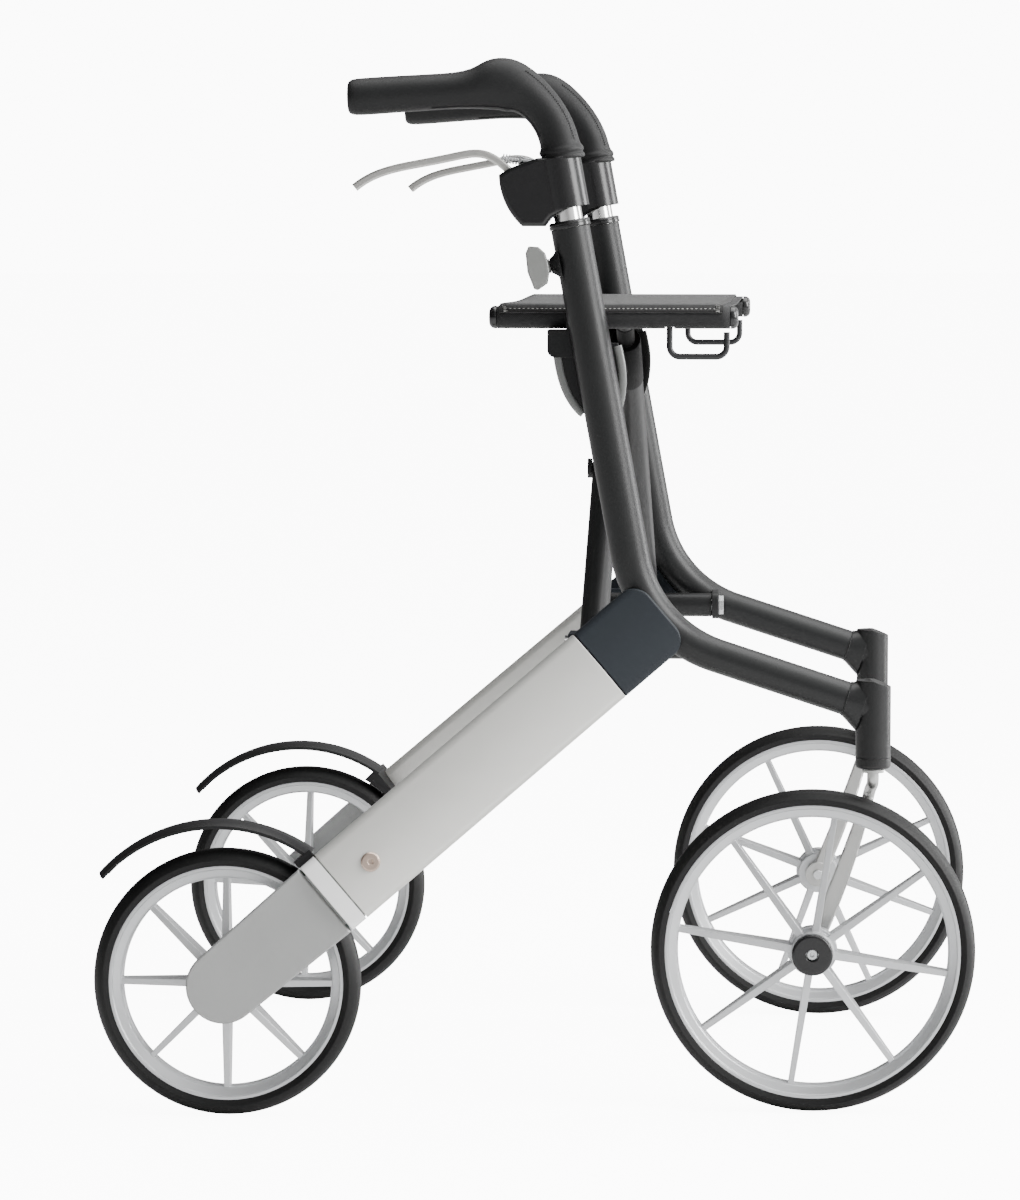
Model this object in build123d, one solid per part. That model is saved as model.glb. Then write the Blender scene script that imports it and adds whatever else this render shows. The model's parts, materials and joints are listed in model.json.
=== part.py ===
from build123d import *
import os
from math import asin, atan2, cos, degrees, hypot, radians, sin, tan

# A folding four-wheel rollator walker. Millimetres. +X forward, +Y to the user's left, +Z up.
# The origin is on the ground, midway between the rearmost and the foremost tyre, on the centre line.
# Each side is drawn once as the left side (+Y) and mirrored for the right.

# ---- clearances
RUN = 0.08               # radial play of a shaft that turns or slides in its hole
SNUG = 0.1               # play between two pieces that are fastened together
CLEAR = 1.0              # air between two pieces that move past each other

# ---- wheels and their places
FRONT_WHEEL_R = 125.0
REAR_WHEEL_R = 103.25
WHEELBASE = 448.1
TYRE_W = 27.0
FRONT_TYRE_H = 11.3
REAR_TYRE_H = 12.8
RIM_H = 9.8
RIM_W = 23.0
SPOKES = 8
SPOKE_T_HUB = 6.0
SPOKE_T_RIM = 4.6
SPOKE_W_HUB = 26.0
SPOKE_W_RIM = 13.0
FRONT_HUB_R = 16.5
FRONT_HUB_HALF = 21.0
REAR_HUB_R = 17.0
REAR_HUB_HALF = 19.0
FRONT_SPOKE_DEG = {"left": 25.0, "right": 36.0}
REAR_SPOKE_DEG = {"left": -2.0, "right": 0.0}

FRONT_BEARING_R = 9.5
FRONT_BEARING_W = 6.0
FRONT_AXLE_R = 4.0
REAR_BEARING_R = 11.0
REAR_BEARING_W = 7.0
REAR_AXLE_R = 5.0
HUB_CAP_R = 15.8
HUB_CAP_T = 7.0
HUB_CAP_SPIGOT = 2.8
AXLE_HEAD_R = 4.4
HUB_FLANGE = 2.5         # flange round the spokes' roots, wider than the hub
RIM_LIP = 2.4
RIM_LIP_STEP = 1.4

REAR_AXLE_X = -(WHEELBASE + FRONT_WHEEL_R + REAR_WHEEL_R) / 2 + REAR_WHEEL_R
FRONT_AXLE_X = REAR_AXLE_X + WHEELBASE

# ---- tubular side frame
FRAME_HALF = 231.0       # centre line to the middle of one side frame
FRONT_WHEEL_Y = FRAME_HALF + 4.0
REAR_WHEEL_Y = FRAME_HALF + 49.0
HANDLE_TUBE_R = 11.0
LINING_T = 1.92          # plastic lining between the upright and the handle tube
TUBE_WALL = 2.0
UPRIGHT_R = HANDLE_TUBE_R + RUN + LINING_T + TUBE_WALL
FRONT_TUBE_R = 13.1
FRAME_BEND_R = 100.0
UPRIGHT_LEAN = 10.4      # degrees backwards from vertical
FRONT_TUBE_SLOPE = 18.0  # degrees down towards the front
UPRIGHT_LENGTH = 315.0
ELBOW_TO_HEAD = 176.5
SLEEVE_LENGTH = 60.0     # lining of the upright in which the handle tube slides

# ---- caster head and fork
CASTER_TRAIL = 45.6
HEAD_R = 13.5
HEAD_TOP_SLOPE = 20.0    # degrees, the top is cut down towards the front
HEAD_FLARE = 22.0        # from the head tube's axis back to where the front tube starts to widen
HEAD_FLARE_HALF = 21.5   # half height of the widened end
HEAD_LENGTH = 68.0
HEAD_GROUND_GAP = 16.0   # head tube's lower end above the front tyre's top
HEAD_JOINT_UP = 47.0
HEAD_BEARING_R = 10.3
HEAD_BEARING_W = 8.0
STEM_R = 6.0
FORK_LEG_T = 8.0
FORK_NECK_R = 4.6

# ---- beam from the elbow down to the rear wheel
BEAM_H = 62.0
BEAM_T = 35.0
BEAM_CROWN = 4.0
BEAM_CORNER_R = 7.0
BEAM_WALL = 2.6
BEAM_OUT_FRONT = 11.0    # beam's middle outside the frame's middle, at the elbow
BEAM_OUT_REAR = 16.0     # beam's middle outside the rear wheel's middle, at its lower end
BEAM_TO_ELBOW = 60.7     # beam's upper end short of the elbow's middle
BEAM_AIM_UP = 3.7
CASTING_PAST_ELBOW = 3.6
CASTING_NOSE_R = 16.0
SPIGOT_LENGTH = 45.0
BAND_LENGTH = 13.2
BAND_T = 1.6
BAND_GAP = 1.2
TONGUE_LENGTH = 60.0
BEAM_BOLT_FROM_END = 28.5
BEAM_BOLT_R = 3.0
BEAM_BOLT_HEAD_R = 7.4
ARM_PLATE_T = 7.0
ARM_PLATE_GAP = 10.0     # tyre's side to the arm plate
WHEEL_WELL = 3.0         # air round the rear tyre
ROOT_INSET = 2.5         # arm plate thinned where it runs inside the band
ARM_END_R = 28.5         # rounded end of the arm plate round the axle

# ---- mudguard
GUARD_R = 125.5
GUARD_SHIFT = 5.0        # its centre behind the rear axle
GUARD_HALF_W = 16.0
GUARD_T = 2.4
GUARD_CROWN = 4.0
GUARD_FROM_DEG = 55.0
GUARD_TO_DEG = 138.0

# ---- folding scissor and seat
PIVOT_INSET = 30.0       # lower pivots inside the side frame's middle
PIVOT_FRONT = 42.5       # front ear ahead of the elbow's corner
SCISSOR_RISE = 254.5     # lower pivots up to the seat rails
ARM_FRONT_BACK = 16.8    # front scissor arm behind the elbow's corner
ARM_PITCH = 24.0         # front arm to rear arm
ARM_R = 11.0
ARM_NECK_R = 6.5
ARM_NECK_LENGTH = 34.0
PIVOT_SLEEVE_R = 10.0
PIVOT_PIN_R = 5.0
EAR_T = 5.5
EAR_HALF = 11.5
RAIL_R = 7.0
RAIL_WALL = 1.6
SEAT_DEPTH = 192.5
SEAT_CENTRE_BACK = 25.0  # seat's middle behind the elbow's corner
RAIL_KNOB_R = 8.8
RAIL_KNOB_L = 6.0
FABRIC_T = 1.6
FABRIC_END = 0.4         # bare rail between fabric and end knob
SEAT_SPLIT = 0.5
HOOK_WIRE_R = 2.4
HOOK_FROM_FRONT = 53.0
HOOK_DROP = 30.3
HOOK_REACH = 44.0
HOOK_TIP = 11.0
HOOK_BEND_R = 8.0

# ---- handle, brake lever and height knob
HANDLE_TUBE_WALL = 1.5
HANDLE_INSERT = 215.0    # handle tube inside the upright at the lowest setting
HANDLE_RISE = 107.0      # upright's end to the grip's corner, along the upright
GRIP_REACH = 148.0
GRIP_SPLAY = 10.0        # grip's end outside its corner
GRIP_DROP = 4.0
GRIP_BEND_R = 36.0
GRIP_R = 15.3
GRIP_START = 50.0        # grip's lower end below its corner
GRIP_END_WALL = 4.0
HOUSING_HALF = 15.5
HOUSING_COLLAR_R = 17.6
LEVER_HALF = 5.0
LEVER_T = 6.3
LEVER_EDGE_R = 1.6
LEVER_PIN_R = 2.5
LEVER_SPLAY_DEG = 3.6
KNOB_UP = 289.0          # height knob above the elbow's corner, along the upright
KNOB_STUD_R = 3.0
KNOB_HALF = 4.0
KNOB_POCKET = 2.4        # depth of the hollows in the knob's faces
KNOB_BOSS_R = 13.5
KNOB_BOSS_WAIST_R = 8.0
KNOB_BOSS_END_R = 5.6
KNOB_BOSS_LENGTH = 5.0   # beyond the upright's surface

# ---- places that follow from the sizes above
HEAD_X = FRONT_AXLE_X + CASTER_TRAIL
HEAD_BOTTOM_Z = 2 * FRONT_WHEEL_R + HEAD_GROUND_GAP
HEAD_TOP_Z = HEAD_BOTTOM_Z + HEAD_LENGTH
ELBOW = Vector(
    HEAD_X - ELBOW_TO_HEAD,
    FRAME_HALF,
    HEAD_BOTTOM_Z + HEAD_JOINT_UP + ELBOW_TO_HEAD * tan(radians(FRONT_TUBE_SLOPE)),
)
UP = Vector(-sin(radians(UPRIGHT_LEAN)), 0, cos(radians(UPRIGHT_LEAN)))
BACK = Vector(-cos(radians(UPRIGHT_LEAN)), 0, -sin(radians(UPRIGHT_LEAN)))
UPRIGHT_TOP = ELBOW + UP * UPRIGHT_LENGTH
HEAD_JOINT = Vector(HEAD_X, FRAME_HALF, HEAD_BOTTOM_Z + HEAD_JOINT_UP)
FRONT_DIR = (HEAD_JOINT - ELBOW).normalized()
BEND_MID = ELBOW + (UP + FRONT_DIR).normalized() * FRAME_BEND_R * (
    1 / cos(radians(UP.get_angle(FRONT_DIR * -1) / 2)) - 1
)

# the beam's axis runs from the rear axle to the middle of the elbow, splayed outwards to the rear
BEAM_DX = BEND_MID.X - REAR_AXLE_X
BEAM_DZ = BEND_MID.Z + BEAM_AIM_UP - REAR_WHEEL_R
BEAM_PITCH = atan2(BEAM_DZ, BEAM_DX)
BEAM_ELBOW_S = hypot(BEAM_DX, BEAM_DZ)
BAND_S = REAR_WHEEL_R
BEAM_S0 = BAND_S + BAND_LENGTH + BAND_GAP
BEAM_S1 = BEAM_ELBOW_S - BEAM_TO_ELBOW
CASTING_S0 = BEAM_S1 + BAND_GAP
CASTING_S1 = BEAM_ELBOW_S + CASTING_PAST_ELBOW
BEAM_Y_FRONT = FRAME_HALF + BEAM_OUT_FRONT
BEAM_Y_REAR = REAR_WHEEL_Y + BEAM_OUT_REAR
BEAM_SLANT = (BEAM_Y_REAR - BEAM_Y_FRONT) / (BEAM_ELBOW_S - BEAM_S0)
BEAM_SPLAY = atan2(BEAM_SLANT, 1)
ARM_PLATE_Y = REAR_WHEEL_Y + TYRE_W / 2 + ARM_PLATE_GAP

# scissor and seat
PIVOT_HALF = FRAME_HALF - PIVOT_INSET
PIVOT_Z = ELBOW.Z - PIVOT_FRONT * tan(radians(FRONT_TUBE_SLOPE))
RAIL_Z = PIVOT_Z + SCISSOR_RISE
CROSS_Z = PIVOT_Z + SCISSOR_RISE / 2
ARM_FRONT_X = ELBOW.X - ARM_FRONT_BACK
ARM_REAR_X = ARM_FRONT_X - ARM_PITCH
EAR_FRONT_X = ELBOW.X + PIVOT_FRONT - EAR_T / 2
EAR_REAR_X = ARM_REAR_X - ARM_R - CLEAR - EAR_T
SEAT_X = ELBOW.X - SEAT_CENTRE_BACK
SLEEVE_R = RAIL_R + RUN * 4 + FABRIC_T
HOOK_X = SEAT_X + SEAT_DEPTH / 2 - HOOK_FROM_FRONT

# handle
GRIP_CORNER = UPRIGHT_TOP + UP * HANDLE_RISE
GRIP_TIP = GRIP_CORNER + Vector(-GRIP_REACH, GRIP_SPLAY, -GRIP_DROP)
GRIP_FOOT = GRIP_CORNER - UP * GRIP_START
LEVER_PIVOT = UPRIGHT_TOP + Vector(-41.0, 0, 36.0)
KNOB_AXIS = ELBOW + UP * KNOB_UP


def rod(start, end, radius):
    """A straight round bar between two points."""
    along = end - start
    return extrude(Plane(origin=start, z_dir=along) * Circle(radius), amount=along.length)


def cross_rod(x, y0, y1, z, radius):
    """A round bar along Y."""
    return rod(Vector(x, y0, z), Vector(x, y1, z), radius)


def block(x0, x1, y0, y1, z0, z1):
    size = Box(x1 - x0, y1 - y0, z1 - z0)
    return Pos((x0 + x1) / 2, (y0 + y1) / 2, (z0 + z1) / 2) * size


def side_plate(outline, y0, y1):
    """A flat piece from y0 to y1, whose outline is drawn in side view, X and Z."""
    face = Plane(origin=(0, y1, 0), x_dir=(1, 0, 0), z_dir=(0, -1, 0)) * outline
    return extrude(face, amount=y1 - y0)


def path_tube(path, radius):
    """A round bar along a path."""
    start = Plane(origin=path @ 0, z_dir=path % 0)
    return sweep(start * Circle(radius), path=path)


# ---- side frame

def frame_path():
    return FilletPolyline(UPRIGHT_TOP, ELBOW, HEAD_JOINT, radius=FRAME_BEND_R)


def frame_bar(skin):
    """The bent tube as a solid bar, skin thicker than its outside, tapering through the bend."""
    upright, bend, front = frame_path().edges()
    thick = UPRIGHT_R + skin
    thin = FRONT_TUBE_R + skin
    ends = [
        Plane(origin=bend @ 0, z_dir=bend % 0) * Circle(thick),
        Plane(origin=bend @ 1, z_dir=bend % 1) * Circle(thin),
    ]
    bar = rod(upright @ 0, upright @ 1, thick)
    bar += sweep(ends, path=bend, multisection=True)
    return bar + rod(front @ 0, front @ 1, thin)


def head_tube():
    """Upright socket for the fork's stem, with a sloping top and a rounded lower end."""
    tube = Pos(HEAD_X, FRAME_HALF, HEAD_BOTTOM_Z + HEAD_LENGTH / 2) * Cylinder(HEAD_R, HEAD_LENGTH)
    lower_end = tube.edges().filter_by(GeomType.CIRCLE).sort_by(Axis.Z)[0]
    tube = fillet(lower_end, (HEAD_R - HEAD_BEARING_R) * 0.8)
    tube -= above_head()
    return fillet(tube.edges().sort_by(Axis.Z)[-1], 2.2)


def above_head():
    """Space above the head tube's sloping top."""
    space = Pos(0, 0, HEAD_R) * Box(6 * HEAD_R, 4 * HEAD_R, 2 * HEAD_R)
    return Pos(HEAD_X, FRAME_HALF, HEAD_TOP_Z) * Rot(0, HEAD_TOP_SLOPE, 0) * space


def head_flare():
    """The front tube's end, widened up and down where it meets the head tube."""
    start = HEAD_JOINT - FRONT_DIR * HEAD_FLARE
    end = HEAD_JOINT - FRONT_DIR * (HEAD_R * 0.55)
    tall = Plane(origin=end, x_dir=(0, 1, 0), z_dir=FRONT_DIR) * Ellipse(HEAD_R - 0.3, HEAD_FLARE_HALF)
    round_end = Plane(origin=start, x_dir=(0, 1, 0), z_dir=FRONT_DIR) * Circle(FRONT_TUBE_R)
    return loft([round_end, tall]) - above_head()


def knob_boss():
    """Flared boss on the back of the upright, through which the knob's stud is screwed."""
    stations = [
        (UPRIGHT_R - 3.0, KNOB_BOSS_R),
        (UPRIGHT_R + KNOB_BOSS_LENGTH * 0.3, KNOB_BOSS_WAIST_R),
        (UPRIGHT_R + KNOB_BOSS_LENGTH, KNOB_BOSS_END_R),
    ]
    rings = [Plane(origin=KNOB_AXIS + BACK * out, z_dir=BACK) * Circle(r) for out, r in stations]
    return loft(rings[:2]) + loft(rings[1:])


def front_ear():
    y0 = PIVOT_HALF - EAR_HALF
    ear = block(EAR_FRONT_X, EAR_FRONT_X + EAR_T, y0, FRAME_HALF, PIVOT_Z - EAR_HALF, PIVOT_Z + EAR_HALF)
    return fillet(ear.edges().filter_by(Axis.X).sort_by(Axis.Y)[:2], EAR_HALF * 0.8)


def pivot_hole():
    reach = 2 * (EAR_FRONT_X - EAR_REAR_X)
    middle = Vector(EAR_REAR_X, PIVOT_HALF, PIVOT_Z)
    return rod(middle - Vector(reach, 0, 0), middle + Vector(reach, 0, 0), PIVOT_PIN_R + SNUG / 2)


def frame():
    head = head_tube()
    body = frame_bar(0) + head_flare() + front_ear() + knob_boss() + head
    hollow = frame_bar(-TUBE_WALL)
    lining = rod(UPRIGHT_TOP, UPRIGHT_TOP - UP * SLEEVE_LENGTH, UPRIGHT_R - TUBE_WALL / 2)
    bore = rod(UPRIGHT_TOP + UP, UPRIGHT_TOP - UP * (SLEEVE_LENGTH + 1), HANDLE_TUBE_R + RUN)
    stem_bore_r = STEM_R + CLEAR
    seat_r = HEAD_BEARING_R + SNUG / 2
    body = body - hollow + lining + head
    body -= bore
    body -= rod(KNOB_AXIS, KNOB_AXIS + BACK * 40, KNOB_STUD_R + RUN)
    body -= Pos(HEAD_X, FRAME_HALF, HEAD_TOP_Z - 8 - HEAD_LENGTH / 2) * Cylinder(stem_bore_r, HEAD_LENGTH)
    for z in head_bearing_heights():
        body -= Pos(HEAD_X, FRAME_HALF, z) * Cylinder(seat_r, HEAD_BEARING_W)
    body -= Pos(HEAD_X, FRAME_HALF, HEAD_BOTTOM_Z) * Cylinder(seat_r, 4.0)
    return body - pivot_hole()


def head_bearing_heights():
    low = HEAD_BOTTOM_Z + 2.0 + HEAD_BEARING_W / 2
    return low, HEAD_TOP_Z - 9.0 - HEAD_BEARING_W / 2


def ring(outer, inner, width):
    return Cylinder(outer, width) - Cylinder(inner, width)


def head_bearings():
    races = [
        Pos(HEAD_X, FRAME_HALF, z) * ring(HEAD_BEARING_R, STEM_R + RUN, HEAD_BEARING_W)
        for z in head_bearing_heights()
    ]
    return Compound(races)


# ---- caster

def fork_leg():
    """The flat leaf-shaped leg, from the neck down to the hub, inside the wheel."""
    top = Vector(HEAD_X - 3.5, HEAD_BOTTOM_Z - 24.0)
    foot = Vector(FRONT_AXLE_X, FRONT_WHEEL_R)
    along = (top - foot).normalized()
    ahead = Vector(along.Y, -along.X)
    middle = (top + foot) * 0.5
    rear = ThreePointArc(top - ahead * 4.2, middle - ahead * 4.0, foot - ahead * 6.5)
    front = ThreePointArc(foot + ahead * 6.5, middle + ahead * 8.4, top + ahead * 4.2)
    ends = [Line(top + ahead * 4.2, top - ahead * 4.2), Line(foot - ahead * 6.5, foot + ahead * 6.5)]
    outline = make_face([rear, ends[1], front, ends[0]])
    y1 = FRONT_WHEEL_Y - FRONT_HUB_HALF - 2 * CLEAR
    return side_plate(outline, y1 - FORK_LEG_T, y1)


def fork():
    leg_y = FRONT_WHEEL_Y - FRONT_HUB_HALF - 2 * CLEAR - FORK_LEG_T / 2
    neck = FilletPolyline(
        Vector(HEAD_X, FRAME_HALF, HEAD_BOTTOM_Z - 2),
        Vector(HEAD_X, FRAME_HALF, HEAD_BOTTOM_Z - 11.5),
        Vector(HEAD_X - 2.3, leg_y, HEAD_BOTTOM_Z - 19.5),
        Vector(HEAD_X - 5.0, leg_y, HEAD_BOTTOM_Z - 31.0),
        radius=[7.0, 7.0],
    )
    stem_top = head_bearing_heights()[1] + HEAD_BEARING_W / 2
    body = path_tube(neck, FORK_NECK_R)
    body += rod(Vector(HEAD_X, FRAME_HALF, HEAD_BOTTOM_Z - 3), Vector(HEAD_X, FRAME_HALF, stem_top), STEM_R)
    body += Pos(HEAD_X, FRAME_HALF, HEAD_BOTTOM_Z - 2.0) * Cylinder(8.4, 2.4)
    body += fillet(fork_leg().edges().filter_by(Axis.Y, reverse=True), 1.5)
    hub_y = FRONT_WHEEL_Y - FRONT_HUB_HALF - CLEAR
    body += cross_rod(FRONT_AXLE_X, hub_y - FORK_LEG_T - 2, hub_y, FRONT_WHEEL_R, 10.5)
    bore = cross_rod(FRONT_AXLE_X, hub_y - 30, hub_y + 5, FRONT_WHEEL_R, FRONT_AXLE_R + SNUG / 2)
    return body - bore


def front_axle():
    inner = FRONT_WHEEL_Y - FRONT_HUB_HALF - CLEAR - FORK_LEG_T - 4
    outer = FRONT_WHEEL_Y + FRONT_HUB_HALF + 3.5
    axle = cross_rod(FRONT_AXLE_X, inner, outer, FRONT_WHEEL_R, FRONT_AXLE_R)
    head = cross_rod(FRONT_AXLE_X, outer - 3.4, outer, FRONT_WHEEL_R, AXLE_HEAD_R)
    head = chamfer(head.edges().filter_by(GeomType.CIRCLE).sort_by(Axis.Y)[-1], 0.8)
    socket = Plane(origin=(FRONT_AXLE_X, outer, FRONT_WHEEL_R), z_dir=(0, -1, 0)) * RegularPolygon(1.8, 6)
    return axle + head - extrude(socket, amount=2.4)


# ---- wheels, drawn round the Y axis at the origin

def tyre(radius, height):
    inner = radius - height
    shoulder = inner + 4.5
    half = TYRE_W / 2
    outline = make_face([
        Line((inner, 2 - half), (inner, half - 2)),
        Line((inner, half - 2), (shoulder, half)),
        ThreePointArc((shoulder, half), (radius, 0), (shoulder, -half)),
        Line((shoulder, -half), (inner, 2 - half)),
    ])
    return revolve(outline, Axis.Y)


def rim(radius, tyre_h, hub_r, hub_half, bearing_r, bearing_w, cap_depth, bore_r, phase):
    outer = radius - tyre_h - SNUG / 2
    inner = outer - RIM_H
    half = RIM_W / 2
    lip = outer - RIM_LIP
    ledge = half - RIM_LIP_STEP
    hoop = revolve(Polygon(
        (outer, half), (lip, half), (lip - 0.6, ledge), (inner + 1.4, half * 0.66), (inner, half * 0.5),
        (inner, -half * 0.5), (inner + 1.4, -half * 0.66), (lip - 0.6, -ledge), (lip, -half), (outer, -half),
        align=None,
    ), Axis.Y)
    body = hoop + Rot(90, 0, 0) * Cylinder(hub_r, 2 * hub_half)
    body += Rot(90, 0, 0) * Cylinder(hub_r + HUB_FLANGE, 12)
    for i in range(SPOKES):
        angle = radians(phase + 360 / SPOKES * i)
        out = Vector(cos(angle), 0, sin(angle))
        sections = [
            Plane(origin=out * (hub_r - 4), x_dir=(0, 1, 0), z_dir=out) * Rectangle(SPOKE_W_HUB, SPOKE_T_HUB),
            Plane(origin=out * (inner + 2), x_dir=(0, 1, 0), z_dir=out) * Rectangle(SPOKE_W_RIM, SPOKE_T_RIM),
        ]
        body += loft(sections)
    body -= Rot(90, 0, 0) * Cylinder(bore_r, 3 * hub_half)
    seat = Rot(90, 0, 0) * Cylinder(bearing_r + SNUG / 2, 4 * hub_half)
    for end in (-1, 1):
        depth = bearing_w + (cap_depth if end > 0 else 0)
        body -= Pos(0, end * (3 * hub_half - depth), 0) * seat
    return body


def bearings(radius, width, axle_r, hub_half, cap_depth):
    race = Rot(90, 0, 0) * ring(radius, axle_r + RUN, width)
    inner = Pos(0, -hub_half + width / 2, 0) * race
    outer = Pos(0, hub_half - cap_depth - width / 2, 0) * race
    return Compound([inner, outer])


def at_front(shape):
    return Pos(FRONT_AXLE_X, FRONT_WHEEL_Y, FRONT_WHEEL_R) * shape


def at_rear(shape):
    return Pos(REAR_AXLE_X, REAR_WHEEL_Y, REAR_WHEEL_R) * shape


def front_rim(phase):
    return at_front(rim(FRONT_WHEEL_R, FRONT_TYRE_H, FRONT_HUB_R, FRONT_HUB_HALF, FRONT_BEARING_R,
                        FRONT_BEARING_W, HUB_CAP_SPIGOT, FRONT_AXLE_R + CLEAR, phase))


def rear_rim(phase):
    return at_rear(rim(REAR_WHEEL_R, REAR_TYRE_H, REAR_HUB_R, REAR_HUB_HALF, REAR_BEARING_R,
                       REAR_BEARING_W, 0, REAR_AXLE_R + CLEAR, phase))


def hub_cap():
    """Push-in cover on the outer end of the front hub, with a hole round the axle's head."""
    face = FRONT_HUB_HALF + SNUG / 2
    cap = Pos(0, face + HUB_CAP_T / 2, 0) * Rot(90, 0, 0) * Cylinder(HUB_CAP_R, HUB_CAP_T)
    rounded = cap.edges().filter_by(GeomType.CIRCLE).sort_by(Axis.Y)[-1]
    cap = fillet(rounded, 2.2)
    spigot_l = HUB_CAP_SPIGOT + SNUG
    cap += Pos(0, face - spigot_l / 2 + SNUG, 0) * Rot(90, 0, 0) * Cylinder(FRONT_BEARING_R, spigot_l - SNUG)
    return at_front(cap - Rot(90, 0, 0) * Cylinder(AXLE_HEAD_R + CLEAR / 2, 200))


# ---- beam and rear wheel arm

def beam_point(s, n=0.0, t=0.0):
    """A point at s along the beam from the rear axle, n across it upwards, t outwards."""
    c = cos(BEAM_PITCH)
    k = sin(BEAM_PITCH)
    axis = Vector(
        REAR_AXLE_X + s * c, BEAM_Y_REAR - (s - BEAM_S0) * BEAM_SLANT, REAR_WHEEL_R + s * k
    )
    across = Vector(-k, 0, c)
    out = Vector(c * sin(BEAM_SPLAY), cos(BEAM_SPLAY), k * sin(BEAM_SPLAY))
    return axis + across * n + out * t


def beam_plane(s):
    out = beam_point(s, 0, 1) - beam_point(s)
    return Plane(origin=beam_point(s), x_dir=out, z_dir=beam_point(s + 1) - beam_point(s))


def beam_section(inset):
    """The crowned oblong section, inset all round."""
    h = BEAM_H / 2 - inset
    t = BEAM_T / 2 - inset
    shoulder = t - BEAM_CROWN
    face = make_face([
        ThreePointArc((shoulder, -h), (t, 0), (shoulder, h)),
        Line((shoulder, h), (-shoulder, h)),
        ThreePointArc((-shoulder, h), (-t, 0), (-shoulder, -h)),
        Line((-shoulder, -h), (shoulder, -h)),
    ])
    return fillet(face.vertices(), max(BEAM_CORNER_R - inset, 1.5))


def beam_bar(s0, s1, inset):
    length = (beam_point(s1) - beam_point(s0)).length
    return extrude(beam_plane(s0) * beam_section(inset), amount=length)


def beam_box(s0, s1, n0, n1, t0, t1):
    plane = beam_plane(s0)
    face = Pos((t0 + t1) / 2, (n0 + n1) / 2) * Rectangle(t1 - t0, n1 - n0)
    return extrude(plane * face, amount=(beam_point(s1) - beam_point(s0)).length)


def wheel_well():
    """Space kept for the rear tyre, up to the arm plate's side."""
    y1 = REAR_WHEEL_Y + TYRE_W / 2 + WHEEL_WELL + 1
    return cross_rod(REAR_AXLE_X, y1 - 60, y1, REAR_WHEEL_R, REAR_WHEEL_R + WHEEL_WELL)


def bolt_hole(radius):
    s = BEAM_S0 + BEAM_BOLT_FROM_END
    return rod(beam_point(s, 0, 1.0), beam_point(s, 0, BEAM_T), radius)


def beam():
    tube = beam_bar(BEAM_S0, BEAM_S1, 0) - beam_bar(BEAM_S0 - 1, BEAM_S1 + 1, BEAM_WALL)
    return tube - bolt_hole(BEAM_BOLT_R + SNUG / 2)


def beam_bolt():
    s = BEAM_S0 + BEAM_BOLT_FROM_END
    face = BEAM_T / 2 + SNUG / 2
    shank = rod(beam_point(s, 0, 2.0), beam_point(s, 0, face + 1), BEAM_BOLT_R)
    head = rod(beam_point(s, 0, face), beam_point(s, 0, face + 2.4), BEAM_BOLT_HEAD_R)
    head = chamfer(head.edges().filter_by(GeomType.CIRCLE).sort_by(Axis.Y)[-1], 1.0)
    out = beam_point(s, 0, 1) - beam_point(s)
    socket = Plane(origin=beam_point(s, 0, face + 2.4), z_dir=out * -1) * RegularPolygon(2.4, 6)
    return head + shank - extrude(socket, amount=2.0)


def reflector():
    band = beam_bar(BAND_S, BAND_S + BAND_LENGTH, 0) - beam_bar(BAND_S - 1, BEAM_S0, BAND_T)
    return band - wheel_well()


def wheel_arm():
    """Plate outside the rear wheel, its neck inside the band and its tongue inside the beam."""
    c = cos(BEAM_PITCH)
    k = sin(BEAM_PITCH)
    plate_plane = Plane(
        origin=(REAR_AXLE_X, ARM_PLATE_Y + ARM_PLATE_T, REAR_WHEEL_R), x_dir=(c, 0, k), z_dir=(0, -1, 0)
    )
    neck_s = BAND_S + BAND_LENGTH * 0.7
    lean = asin((BEAM_H / 2 - ARM_END_R) / BAND_S)
    touch_s = -ARM_END_R * sin(lean)
    touch_n = ARM_END_R * cos(lean)
    end_s = BAND_S - 0.3
    outline = make_face([
        Line((touch_s, -touch_n), (end_s, -BEAM_H / 2)),
        Line((end_s, -BEAM_H / 2), (end_s, BEAM_H / 2)),
        Line((end_s, BEAM_H / 2), (touch_s, touch_n)),
        ThreePointArc((touch_s, touch_n), (-ARM_END_R, 0), (touch_s, -touch_n)),
    ])
    plate = extrude(plate_plane * outline, amount=ARM_PLATE_T)
    plate = chamfer(plate.faces().sort_by(Axis.Y)[-1].edges(), 1.2)
    root = Pos(neck_s / 2, 0) * Rectangle(neck_s, BEAM_H - 14)
    plate += Pos(0, -ROOT_INSET, 0) * extrude(plate_plane * root, amount=ARM_PLATE_T - ROOT_INSET)
    neck = beam_bar(BAND_S - 0.4, BEAM_S0 - 0.2, BAND_T + SNUG)
    tongue = beam_bar(BEAM_S0 - 0.5, BEAM_S0 + TONGUE_LENGTH, BEAM_WALL + SNUG)
    boss_y = REAR_WHEEL_Y + REAR_HUB_HALF + CLEAR
    arm = plate + neck + tongue - wheel_well()
    arm -= beam_box(BAND_S - 40, BEAM_S0 + TONGUE_LENGTH + 5, -BEAM_H, BEAM_H, -BEAM_T, -2.4)
    arm += cross_rod(REAR_AXLE_X, boss_y, ARM_PLATE_Y + 1, REAR_WHEEL_R, 9.0)
    arm -= cross_rod(REAR_AXLE_X, boss_y - 1, ARM_PLATE_Y + ARM_PLATE_T - 2, REAR_WHEEL_R, REAR_AXLE_R + SNUG / 2)
    return arm - bolt_hole(BEAM_BOLT_R + SNUG / 2)


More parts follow.
